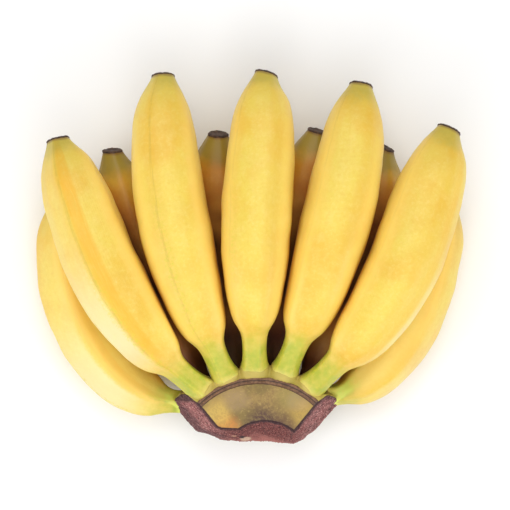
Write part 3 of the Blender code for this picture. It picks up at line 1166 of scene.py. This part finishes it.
leaning = Matrix.Rotation(math.radians(-SCOOP_LEAN_DEG), 4, "X")
scoop_place = Matrix.Translation((*SCOOP_AXIS_AT, UPPER_CUT_HEIGHT)) @ leaning
scoop = bmesh.new()
cylinder = {"segments": SCOOP_SIDES, "radius1": SCOOP_RADIUS, "radius2": SCOOP_RADIUS}
bmesh.ops.create_cone(scoop, cap_ends=True, **cylinder, depth=SCOOP_LENGTH, matrix=scoop_place)
scoop = object_from("scoop", scoop)
boolean = core.modifiers.new("scoop", "BOOLEAN")
boolean.operation = "DIFFERENCE"
boolean.object = scoop
melted = bmesh.new()
melted.from_mesh(evaluated_mesh(core))
bpy.data.objects.remove(scoop)
print("core", len(melted.verts), "points after the scoop")

# %% [markdown]
# A neck is a short tube along the direction in which its fruit leaves. Each step of it gives the
# depth inside the collar and the share of the fruit's full radius. The fruits of the back row were
# lowered onto the table, so their necks are lowered as much.

# %% Necks
NECK_STEPS = ((0.0, 0.385), (0.7, 0.405), (2.2, 0.405), (4.2, 0.43), (7.5, 0.48), (14.0, 0.50))
NECK_SIDES = 36
NECK_PAST_COLLAR = 0.3


def drop_of(fruit):
    """How far a fruit was lowered onto the table, in mm, from its root ring's middle."""
    root = points_of(fruits[fruit.node].data)[:SIDES].mean(0) / MM
    meant = fruit.base[2] - ROOT_LENGTH * direction(*fruit.leaves).z
    return meant - root[2]


def neck_solid(fruit):
    """The short neck between the core and one fruit, widest where it leaves the core."""
    bm = bmesh.new()
    leaving = direction(*fruit.leaves)
    side = leaving.cross(Vector((0, 0, 1))).normalized()
    up = side.cross(leaving)
    base = Vector(fruit.base) - Vector((0, 0, drop_of(fruit)))
    turns = [2 * math.pi * i / NECK_SIDES for i in range(NECK_SIDES)]
    spokes = [side * math.cos(turn) + up * math.sin(turn) for turn in turns]
    loops = []
    for depth, share in NECK_STEPS:
        middle = base + leaving * (collar_at(fruit) + NECK_PAST_COLLAR - depth)
        loops.append([bm.verts.new(middle + spoke * (share * fruit.radius)) for spoke in spokes])
    for near, far in zip(loops, loops[1:]):
        for i in range(NECK_SIDES):
            after = (i + 1) % NECK_SIDES
            bm.faces.new((near[i], near[after], far[after], far[i]))
    bm.faces.new(reversed(loops[0]))
    bm.faces.new(loops[-1])
    return bm


for fruit in FRUITS:
    neck = neck_solid(fruit)
    trim(neck)
    part = bpy.data.meshes.new("neck")
    neck.to_mesh(part)
    neck.free()
    melted.from_mesh(part)
    bpy.data.meshes.remove(part)
print("the back row was lowered by", round(drop_of(FRUITS[-1]), 1), "mm at its last fruit")

# %% [markdown]
# A voxel remesh keeps only the outside of everything that overlaps, as a blob of wax would, and
# leaves small even faces. Those steps of 0.45 mm are then relaxed: each point is drawn towards the
# middle of its neighbours three times, which also rounds the creases a little.

# %% Melt the parts into one skin
CROWN_VOXEL = 0.45
RELAX_TIMES = 3
RELAX_STRENGTH = 0.5

melted = object_from("melted", melted)
remesh = melted.modifiers.new("melt", "REMESH")
remesh.mode = "VOXEL"
remesh.voxel_size = CROWN_VOXEL
crown_mesh = evaluated_mesh(melted)
crown_mesh.name = "crown_skin"
print("crown", len(crown_mesh.vertices), "points after the remesh")


def relaxed(points, edges):
    """Points drawn towards the middle of their neighbours, which rounds creases."""
    counts = np.bincount(edges.ravel(), minlength=len(points)).reshape(-1, 1)
    for _ in range(RELAX_TIMES):
        total = np.zeros_like(points)
        np.add.at(total, edges[:, 0], points[edges[:, 1]])
        np.add.at(total, edges[:, 1], points[edges[:, 0]])
        points = points + (total / counts - points) * RELAX_STRENGTH
    return points


edges = np.empty(len(crown_mesh.edges) * 2, np.int32)
crown_mesh.edges.foreach_get("vertices", edges)
points = relaxed(points_of(crown_mesh), edges.reshape(-1, 2))
crown_mesh.vertices.foreach_set("co", points.astype(np.float32).ravel())
crown_mesh.update()
normals = normals_of(crown_mesh)

# %% [markdown]
# ### Where the crown is cut, corky or smooth
#
# The knife's planes and the scoop are known, so each point's distance from them tells whether it
# lies on the cut. What is left of the top is divided by its reach from the stalk's axis: the smooth
# patch inside, the scar as a ring of 3 mm, and the necks outside. Each is a share from 0 to 1.

# %% Masks
FAR_AWAY = 99.0
CUT_EDGE = (0.35, 1.1)
TOP_FACING = (0.35, 0.7)
TOP_HEIGHT = (42.0, 43.5)
SCAR_INNER_EDGE = (35.6, 36.0)
SCAR_OUTER_EDGE = (38.4, 38.8)
PATCH_EDGE = (35.8, 36.2)


def cut_share(points):
    """1 on a knife cut, 0 on grown skin."""
    distance = np.full(len(points), FAR_AWAY)
    for point, outward in knife_planes():
        distance = np.minimum(distance, np.abs((points - np.array(point)) @ np.array(outward)))
    inverse = np.array(scoop_place.inverted())
    local = points @ inverse[:3, :3].T + inverse[:3, 3]
    wall = np.abs(np.hypot(local[:, 0], local[:, 1]) - SCOOP_RADIUS)
    return 1 - smooth_share(np.minimum(distance, wall), *CUT_EDGE)


cut = cut_share(points)
from_axis = points[:, :2] - np.array(STALK_AXIS)
reach = np.hypot(*from_axis.T)
bearing = np.arctan2(from_axis[:, 0], from_axis[:, 1])
top = smooth_share(normals[:, 2], *TOP_FACING) * smooth_share(points[:, 2], *TOP_HEIGHT) * (1 - cut)
scar = smooth_share(reach, *SCAR_INNER_EDGE) * (1 - smooth_share(reach, *SCAR_OUTER_EDGE)) * top
patch = top * (1 - smooth_share(reach, *PATCH_EDGE))
for name, share in (("cut", cut), ("scar", scar), ("patch", patch)):
    print(f"{name} covers {share.mean():.0%} of the crown's points")

# %% [markdown]
# ### Relief of the crown
#
# The cut dried into lengthwise fibres with lumps and rough spots, and shrank a little. The scar
# stands proud as two ribs with a groove between them, and the patch has faint waves. Streaks need
# a grain to follow, so noise is read at a position unrolled round the stalk's axis.

# %% Relief of the crown
GRAIN_REACH = 38.0
GRAIN_STRETCH = (1.0, 1.0, 0.16)
SCAR_INNER_RIB = 36.7
SCAR_RIB_STEP = 1.6

grain = np.stack([bearing * GRAIN_REACH, points[:, 2], reach], 1)
streaks = noise_at(grain, (0.9, 0.9, 0.13)) + 0.6 * noise_at(grain, (2.0, 2.0, 0.3), 5.0)
lumps = noise_at(points, 0.22, 9.0)
rough = noise_at(points, 1.1, 2.0)
waves = noise_at(points, 0.11, 4.0)
ribs = np.cos((reach - SCAR_INNER_RIB) * 2 * math.pi / SCAR_RIB_STEP)
height = cut * (0.42 * streaks + 0.5 * lumps + 0.15 * rough - 0.45)
height += scar * (0.55 + 0.35 * ribs + 0.1 * rough)
height += patch * (0.25 * waves - 0.1)
height += (1 - cut) * (1 - top) * 0.15 * waves
points = (points + normals * height[:, None] + np.array(HAND_SHIFT)) * MM
crown_mesh.vertices.foreach_set("co", points.astype(np.float32).ravel())
print(f"relief from {height.min():.1f} to {height.max():.1f} mm")

# %% [markdown]
# The shares and the grain are kept on the mesh, where the finish reads them. The crown takes the
# place of its solid.


# %% Keep the shares
def keep_on_mesh(mesh, name, values):
    """Stores one value for each point, for materials and trees to read."""
    mesh.attributes.new(name, "FLOAT", "POINT").data.foreach_set("value", values.astype(np.float32))


for name, share in (("cut", cut), ("patch", patch), ("scar", scar), ("streaks", streaks)):
    keep_on_mesh(crown_mesh, name, share)
grain_attribute = crown_mesh.attributes.new("grain", "FLOAT_VECTOR", "POINT")
grain_attribute.data.foreach_set("vector", (grain * GRAIN_STRETCH).astype(np.float32).ravel())
crown_mesh.shade_smooth()
crown_mesh.update()
crown = bpy.data.objects.new("crown_skin", crown_mesh)
bpy.context.scene.collection.objects.link(crown)
carried = [item.name for item in crown_mesh.attributes if not item.is_internal]
print("the crown carries:", ", ".join(carried))

# %% [markdown]
# ### The crown's finish
#
# One material covers the crown and mixes four finishes by the shares that the mesh carries: the
# pale necks, the olive patch, the brown cork of the scar and the purple-brown fibres of the cut.
# As with the peel, the patterns come first. `across` is how far to the right of the stalk's axis a
# spot is, `aside` the same without its side, `reach` how far from the axis it is all round, and
# `height` how far above the table, all in metres. `arms` is 0 in the middle of the cut and 1 on its
# two arms. `lengthwise` is noise along the grain, and `flecks` mixes it with finer noise.


# %% Patterns on the crown
def crown_patterns(nodes):
    """The values and noises that the crown's colours are mixed by."""
    place = nodes.add("ShaderNodeTexCoord").outputs["Object"]
    axis = tuple((c + s) * MM for c, s in zip((*STALK_AXIS, 0.0), HAND_SHIFT))
    across, up, height = nodes.split(nodes.vector_math("SUBTRACT", place, axis))
    reach_squared = nodes.math("ADD", nodes.times(across, across), nodes.times(up, up))
    broad = nodes.noise(place, 90.0, detail=3.0)
    fine = nodes.noise(place, 900.0, detail=4.0, roughness=0.7)
    lengthwise = nodes.noise(attribute(nodes, "grain", "Vector"), 2.6, detail=4.0, roughness=0.65)
    flecks = nodes.noise(place, 1300.0, detail=3.0, roughness=0.65)
    aside = nodes.math("ABSOLUTE", across)
    return SimpleNamespace(
        place=place,
        across=across,
        aside=aside,
        height=height,
        reach=nodes.math("SQRT", reach_squared),
        broad=broad,
        fine=fine,
        grit=nodes.noise(place, 2600.0, detail=2.0),
        lengthwise=lengthwise,
        flecks=nodes.math("MULTIPLY_ADD", flecks, 0.6, nodes.times(lengthwise, 0.5)),
        arms=nodes.ramp(nodes.wander(aside, broad, 0.012), 0.010, 0.025),
        ragged_height=nodes.wander(height, fine, 0.003),
    )


def tint_spots(nodes, at, colour, spots, squeeze, pattern, amount, core, where):
    """Lays soft spots over a colour, with edges that wander with a pattern."""
    for across, up, size, strength, paint in spots:
        middle = ((across + HAND_SHIFT.x) * MM, (up + HAND_SHIFT.y) * MM, 0.0)
        away = nodes.vector_math("SUBTRACT", at.place, middle)
        away = nodes.vector_math("MULTIPLY", away, squeeze)
        far = nodes.wander(nodes.vector_math("LENGTH", away, output=1), pattern, amount)
        share = nodes.times(nodes.ramp(far, core * size * MM, size * MM, strength, 0.0), where)
        colour = mixed(nodes, share, colour, linear(paint))
    return colour


# %% [markdown]
# The necks are a pale yellow-green, darker towards the table, with painted brown shade in the
# notches between two fruits. The patch is olive skin with specks, stained orange and yellow near its
# left corner, yellow near its right one and dark brown where it meets the middle of the cut. The scar
# is cork, dark along its inner edge and in the groove between its two ribs.

# %% Necks, patch and scar
# Where each stain of the patch is (mm), how far it reaches, how strong it is, and its colour.
PATCH_TINTS = (
    (-13.0, -78.0, 9.5, 0.95, "c78238"),
    (-16.5, -72.0, 8.5, 0.8, "d0ae54"),
    (21.0, -72.0, 9.0, 0.8, "bc9a48"),
    (15.0, -64.0, 7.0, 0.5, "9a8c44"),
    (3.0, -76.5, 11.5, 1.0, "4f332a"),
    (13.0, -77.0, 8.0, 0.8, "5c3a2a"),
    (-17.5, -79.8, 5.0, 0.7, "b0532f"),
    (-8.0, -66.0, 7.5, 0.45, "b0936c"),
    (19.0, -66.5, 6.0, 0.2, "b09a84"),
)


def neck_colour(nodes, at):
    colour = mixed(nodes, nodes.ramp(at.broad, 0.35, 0.65), linear("c6b058"), linear("b6a54c"))
    low_down = nodes.ramp(at.height, 0.012, 0.038, 0.55, 0.0)
    colour = mixed(nodes, low_down, colour, linear("a99a45"))
    # Painted shade: brown where little space is open, in the notches between necks.
    notch_shade = nodes.ramp(attribute(nodes, "open"), 0.05, 0.5, 0.9, 0.0)
    return dimmed(nodes, notch_shade, colour, "7a4f24")


def patch_colour(nodes, at):
    colour = mixed(nodes, nodes.ramp(at.broad, 0.38, 0.62), linear("9a7e44"), linear("826c36"))
    colour = mixed(nodes, nodes.ramp(at.fine, 0.45, 0.75, 0.0, 0.6), colour, linear("6e5034"))
    colour = mixed(nodes, nodes.ramp(at.fine, 0.28, 0.45, 0.5, 0.0), colour, linear("c4aa66"))
    speckled = nodes.ramp(at.fine, 0.38, 0.58, 0.55, 1.0)
    return tint_spots(nodes, at, colour, PATCH_TINTS, (1.0, 1.0, 0.0), at.broad, 0.006, 0.3, speckled)


def scar_colour(nodes, at):
    colour = mixed(nodes, nodes.ramp(at.fine, 0.35, 0.65), linear("5e3f2b"), linear("866042"))
    from_inner_rib = nodes.math("SUBTRACT", at.reach, SCAR_INNER_RIB * MM)
    rib = nodes.times(from_inner_rib, 2 * math.pi / (SCAR_RIB_STEP * MM))
    line = nodes.ramp(nodes.math("COSINE", rib), -0.2, -0.9, 0.0, 0.8)
    return mixed(nodes, line, colour, linear("352219"))


# %% [markdown]
# The cut's fresh flesh dried to purple-brown fibres. They go from dark to reddish with the streaks,
# pinker on the arms, and paler along the lower edge of the middle, where they are rubbed. Reddish,
# dark and pale flecks lie over them, and the middle as a whole is a little redder and darker, a
# painted shade on its steep face. The upper edge dried almost black, and a strip of the left arm is
# darker too, partly its dried edge and partly painted shade on the arm's outer face. Single torn
# spots come last.

# %% The knife cut
DRIED_DARK = "2a161c"
# Where each torn spot of the cut is (mm), how far it reaches, how strong it is, and its colour.
CUT_TINTS = (
    (-4.2, -84.4, 1.5, 0.9, "cfae94"),
    (-6.0, -83.2, 0.9, 0.95, "1c0f12"),
    (-9.5, -82.6, 0.7, 0.8, "b88a70"),
    (-32.5, -64.0, 4.0, 0.8, DRIED_DARK),
    (33.5, -64.0, 2.5, 0.6, "3a2026"),
)


def cut_fibres(nodes, at):
    """The cut's fibres, pinker on the arms and rubbed pale along the lower rim."""
    along_streaks = nodes.ramp(attribute(nodes, "streaks"), -0.6, 0.5)
    colour = mixed(nodes, along_streaks, linear("30191c"), linear("74403f"))
    pink = nodes.times(at.arms, nodes.ramp(at.height, 0.026, 0.034, 0.2, 0.65))
    pink = nodes.times(pink, nodes.ramp(at.across, 0.010, 0.022, 1.0, 0.6))
    pink = nodes.times(pink, nodes.ramp(at.lengthwise, 0.36, 0.56))
    colour = mixed(nodes, pink, colour, linear("b4706e"))
    rubbed = nodes.ramp(nodes.wander(at.height, at.broad, 0.022), 0.019, 0.030, 0.85, 0.0)
    rubbed = nodes.times(rubbed, nodes.ramp(at.aside, 0.013, 0.026, 1.0, 0.0))
    return mixed(nodes, rubbed, colour, linear("b98e86"))


def cut_colour(nodes, at):
    """The whole cut: fibres, flecks, the dark edges and the torn spots."""
    colour = cut_fibres(nodes, at)
    pale = nodes.math("MULTIPLY_ADD", at.grit, 0.4, at.flecks)
    colour = mixed(nodes, nodes.ramp(at.flecks, 0.50, 0.68, 0.0, 0.65), colour, linear("a8635e"))
    colour = mixed(nodes, nodes.ramp(at.flecks, 0.34, 0.47, 0.85, 0.0), colour, linear(DRIED_DARK))
    colour = mixed(nodes, nodes.ramp(pale, 0.78, 0.93, 0.0, 0.75), colour, linear("e0b2a8"))
    # Painted shade: the middle of the cut, off the arms, is darkened.
    colour = dimmed(nodes, nodes.rest(at.arms), colour, "e6c0ba")
    upper_edge = nodes.ramp(at.ragged_height, 0.041, 0.0445, 0.0, 0.85)
    colour = mixed(nodes, upper_edge, colour, linear(DRIED_DARK))
    # Partly the dried skin edge, partly painted shade on the left arm's outer face.
    dried_strip_and_shade = nodes.wander(at.ragged_height, at.broad, 0.008)
    dried_strip_and_shade = nodes.times(nodes.ramp(dried_strip_and_shade, 0.014, 0.023), nodes.ramp(dried_strip_and_shade, 0.028, 0.034, 0.5, 0.0))
    dried_strip_and_shade = nodes.times(dried_strip_and_shade, nodes.ramp(at.across, -0.022, -0.010, 1.0, 0.0))
    colour = mixed(nodes, dried_strip_and_shade, colour, linear("35202a"))
    above = nodes.ramp(at.ragged_height, 0.017, 0.023)
    return tint_spots(nodes, at, colour, CUT_TINTS, (0.45, 1.0, 0.0), at.fine, 0.0012, 0.5, above)


# %% [markdown]
# The four finishes go over each other by their shares. The border of the cut wanders with the fine
# noise, and a dark line runs along it, where the skin shrank back. The cut is rougher than the rest,
# so it shines less.

# %% Crown material
CROWN_ROUGHNESS = 0.6
CROWN_RELIEF = 0.5 * MM


def build_crown_material():
    material, nodes, shader = new_material("banana_crown", CROWN_ROUGHNESS)
    at = crown_patterns(nodes)
    ragged = nodes.wander(attribute(nodes, "cut"), at.fine, 0.5)
    on_patch = nodes.ramp(attribute(nodes, "patch"), 0.3, 0.7)
    on_scar = nodes.ramp(attribute(nodes, "scar"), 0.3, 0.6)
    colour = mixed(nodes, on_patch, neck_colour(nodes, at), patch_colour(nodes, at))
    colour = mixed(nodes, on_scar, colour, scar_colour(nodes, at))
    colour = mixed(nodes, nodes.ramp(ragged, 0.35, 0.6), colour, cut_colour(nodes, at))
    border = nodes.times(nodes.ramp(ragged, 0.12, 0.4), nodes.ramp(ragged, 0.7, 1.0, 1.0, 0.0), 0.85)
    colour = mixed(nodes, border, colour, linear("30191c"))
    nodes.tree.links.new(colour, shader.inputs["Base Color"])
    nodes.tree.links.new(nodes.ramp(ragged, 0.3, 0.7, 0.55, 0.85), shader.inputs["Roughness"])
    relief = nodes.math("MULTIPLY_ADD", at.fine, 0.7, nodes.times(at.grit, 0.4))
    bumpy(nodes, shader, relief, 0.35, CROWN_RELIEF)
    return material


crown_mesh.materials.clear()
crown_mesh.materials.append(build_crown_material())
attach(crown, "root")
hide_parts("crown")
print("crown", triangles(crown), "triangles")

# %% [markdown]
# ## How open each spot is
#
# Deep between the fruits the light has bounced off yellow skin many times, so the peel lies in a
# brown shade there, which the finish paints into its colour. Blender's ambient occlusion node could
# show that, but an exported model would lose it. Instead, rays from a coarse grid of points on each
# fruit tell how much of the space in front of the skin is open, and the mesh carries the answer as
# `open`.
#
# The rays need one surface to hit: every peel, on the coarse grid too, and the crown's skin.

# %% The surface that rays can hit
RING_STEP = 5
SIDE_STEP = 4


def hand_surface():
    """One search tree over every peel, on a coarse grid, and the crown."""
    corners, faces = [], []
    for peel in fruits.values():
        grid = points_of(peel.data)[: RINGS * SIDES].reshape(RINGS, SIDES, 3)
        grid = grid[::RING_STEP, ::SIDE_STEP]
        rows, columns = grid.shape[:2]
        first = len(corners)
        corners += grid.reshape(-1, 3).tolist()
        for near in range(first, first + (rows - 1) * columns, columns):
            far = near + columns
            for j in range(columns):
                after = (j + 1) % columns
                faces.append([near + j, near + after, far + after, far + j])
    first = len(corners)
    corners += points_of(crown.data).tolist()
    faces += [[first + i for i in polygon.vertices] for polygon in crown.data.polygons]
    print("rays can hit", len(faces), "faces")
    return BVHTree.FromPolygons(corners, faces)


surface = hand_surface()

# %% [markdown]
# Forty rays leave each spot. A spiral that turns by the golden angle spreads them evenly, densest
# straight outwards, where light counts most, and gives the same result on each run. The coarse
# values are smoothed once and then filled in over all the rings and sides of the fruit.

# %% How open each spot is
OPEN_RAYS = 40
OPEN_REACH = 45.0 * MM
GOLDEN_TURN = math.pi * (3 - math.sqrt(5))
PEEL_RAY_START = 0.4 * MM
# The four fruits in the middle of the back row lie in the front row's shadow, painted as shade that
# makes them duller all over.
INNER_FRUITS = ("back_finger_2", "back_finger_3", "back_finger_4", "back_finger_5")


def spiral():
    """Directions round +Z, as dense as light counts for a surface that faces that way."""
    for i in range(OPEN_RAYS):
        out = math.sqrt((i + 0.5) / OPEN_RAYS)
        turn = i * GOLDEN_TURN
        yield Vector((out * math.cos(turn), out * math.sin(turn), math.sqrt(1 - out * out)))


RAYS = tuple(spiral())


def open_share(spot, facing, start):
    """How much of the half-space in front of a spot lets light in; rays start just off the skin."""
    facing = Vector(facing)
    turned = facing.to_track_quat("Z", "Y")
    spot = Vector(spot) + facing * start
    hits = [surface.ray_cast(spot, turned @ ray, OPEN_REACH)[0] for ray in RAYS]
    return sum(hit is None for hit in hits) / OPEN_RAYS


def spread(coarse):
    """Values on the coarse grid, filled in over all rings and sides of a fruit."""
    coarse = (np.roll(coarse, 1, 1) + 2 * coarse + np.roll(coarse, -1, 1)) / 4
    padded = np.vstack([coarse[:1], coarse, coarse[-1:]])
    coarse = (padded[:-2] + 2 * coarse + padded[2:]) / 4
    rows = np.arange(0, RINGS, RING_STEP)
    along = np.array([np.interp(np.arange(RINGS), rows, column) for column in coarse.T]).T
    closed = np.concatenate([along, along[:, :1]], 1)
    sides = np.append(np.arange(0, SIDES, SIDE_STEP), SIDES)
    return np.array([np.interp(np.arange(SIDES), sides, row) for row in closed])


for node, peel in fruits.items():
    places, facings = points_of(peel.data), normals_of(peel.data)
    grid = np.arange(RINGS * SIDES).reshape(RINGS, SIDES)[::RING_STEP, ::SIDE_STEP]
    shares = [open_share(places[at], facings[at], PEEL_RAY_START) for at in grid.ravel()]
    coarse = np.array(shares).reshape(grid.shape)
    full = np.ones(len(places))
    full[: RINGS * SIDES] = spread(coarse).ravel()
    keep_on_mesh(peel.data, "open", full)
    keep_on_mesh(peel.data, "inner", np.full(len(places), float(node in INNER_FRUITS)))
    print(f"{node} is open by {coarse.mean():.2f} on average, and {coarse.min():.2f} at least")

# %% [markdown]
# The crown needs it only off the cut and further out than the scar, where the notches between the
# necks are. Its points lie so close together that each one is asked, and nothing is filled in.

# %% How open the crown's notches are
CROWN_RAY_START = 0.2 * MM
NOTCHES_FROM_REACH = 38.6

crown_places, crown_facings = points_of(crown.data), normals_of(crown.data)
crown_open = np.ones(len(crown_places))
asked = np.flatnonzero((reach > NOTCHES_FROM_REACH) & (cut < 0.5))
for at in asked:
    crown_open[at] = open_share(crown_places[at], crown_facings[at], CROWN_RAY_START)
keep_on_mesh(crown.data, "open", crown_open)
print(f"{len(asked)} points of the crown are open by {crown_open[asked].mean():.2f} on average")

# %% [markdown]
# ## Table and light
#
# The table is plain and nearly white. Two broad lamps stand low at both sides of the crown's end, so
# the outer flanks of the fruits catch a pale sheen. Larger soft ones at the front, at the back and
# above keep the tops evenly bright and the shadows faint, and a white world fills in the rest.

# %% Table
TABLE_HALF = 3.0
TABLE_WHITE = (0.96, 0.96, 0.96, 1.0)

floor_mesh = bpy.data.meshes.new("floor")
square = ((-1, -1), (1, -1), (1, 1), (-1, 1))
floor_mesh.from_pydata([(x * TABLE_HALF, y * TABLE_HALF, 0) for x, y in square], [], [(0, 1, 2, 3)])
floor = bpy.data.objects.new("floor", floor_mesh)
bpy.context.scene.collection.objects.link(floor)
floor_finish, _, floor_shader = new_material("pale_table", 0.8)
floor_shader.inputs["Base Color"].default_value = TABLE_WHITE
floor_shader.inputs["Specular IOR Level"].default_value = 0.1
floor_mesh.materials.append(floor_finish)
print("table", 2 * TABLE_HALF, "m wide")

# %% [markdown]
# Each lamp is an area light that looks at the hand's middle. It is placed by its bearing, where 0 is
# the crown's side, its height above level in degrees, and its distance, and has a size and a power.

# %% Lamps
HAND_MIDDLE = Vector((0, 0, 0.03))
LAMPS = (
    ("left_lamp", -62, 26, 0.9, 0.5, 2.9),
    ("right_lamp", 62, 26, 0.9, 0.5, 2.7),
    ("front_lamp", 0, 50, 1.2, 0.9, 3.4),
    ("back_lamp", 180, 52, 1.2, 0.9, 4.9),
    ("top_lamp", 0, 88, 1.2, 1.1, 4.3),
)
WORLD_STRENGTH = 0.32


def add_lamp(name, bearing_deg, height_deg, distance, size, power):
    """A square soft lamp, metres and watts, that the camera doesn't see."""
    light = bpy.data.lights.new(name, "AREA")
    light.shape = "SQUARE"
    light.size = size
    light.energy = power
    made = bpy.data.objects.new(name, light)
    away = direction(180 - bearing_deg, height_deg)
    made.location = HAND_MIDDLE + away * distance
    made.rotation_euler = away.to_track_quat("Z", "Y").to_euler()
    made.visible_camera = False
    bpy.context.scene.collection.objects.link(made)


for lamp in LAMPS:
    add_lamp(*lamp)

world = bpy.data.worlds.new("studio")
world.use_nodes = True
background = world.node_tree.nodes["Background"]
background.inputs["Color"].default_value = (1.0, 1.0, 1.0, 1.0)
background.inputs["Strength"].default_value = WORLD_STRENGTH
bpy.context.scene.world = world
bpy.context.scene.view_settings.view_transform = "Standard"
print(len(LAMPS), "lamps with", round(sum(lamp[-1] for lamp in LAMPS), 1), "W in all")

# %% [markdown]
# ## Finish
#
# The dressed hand must be no larger than the solid one.
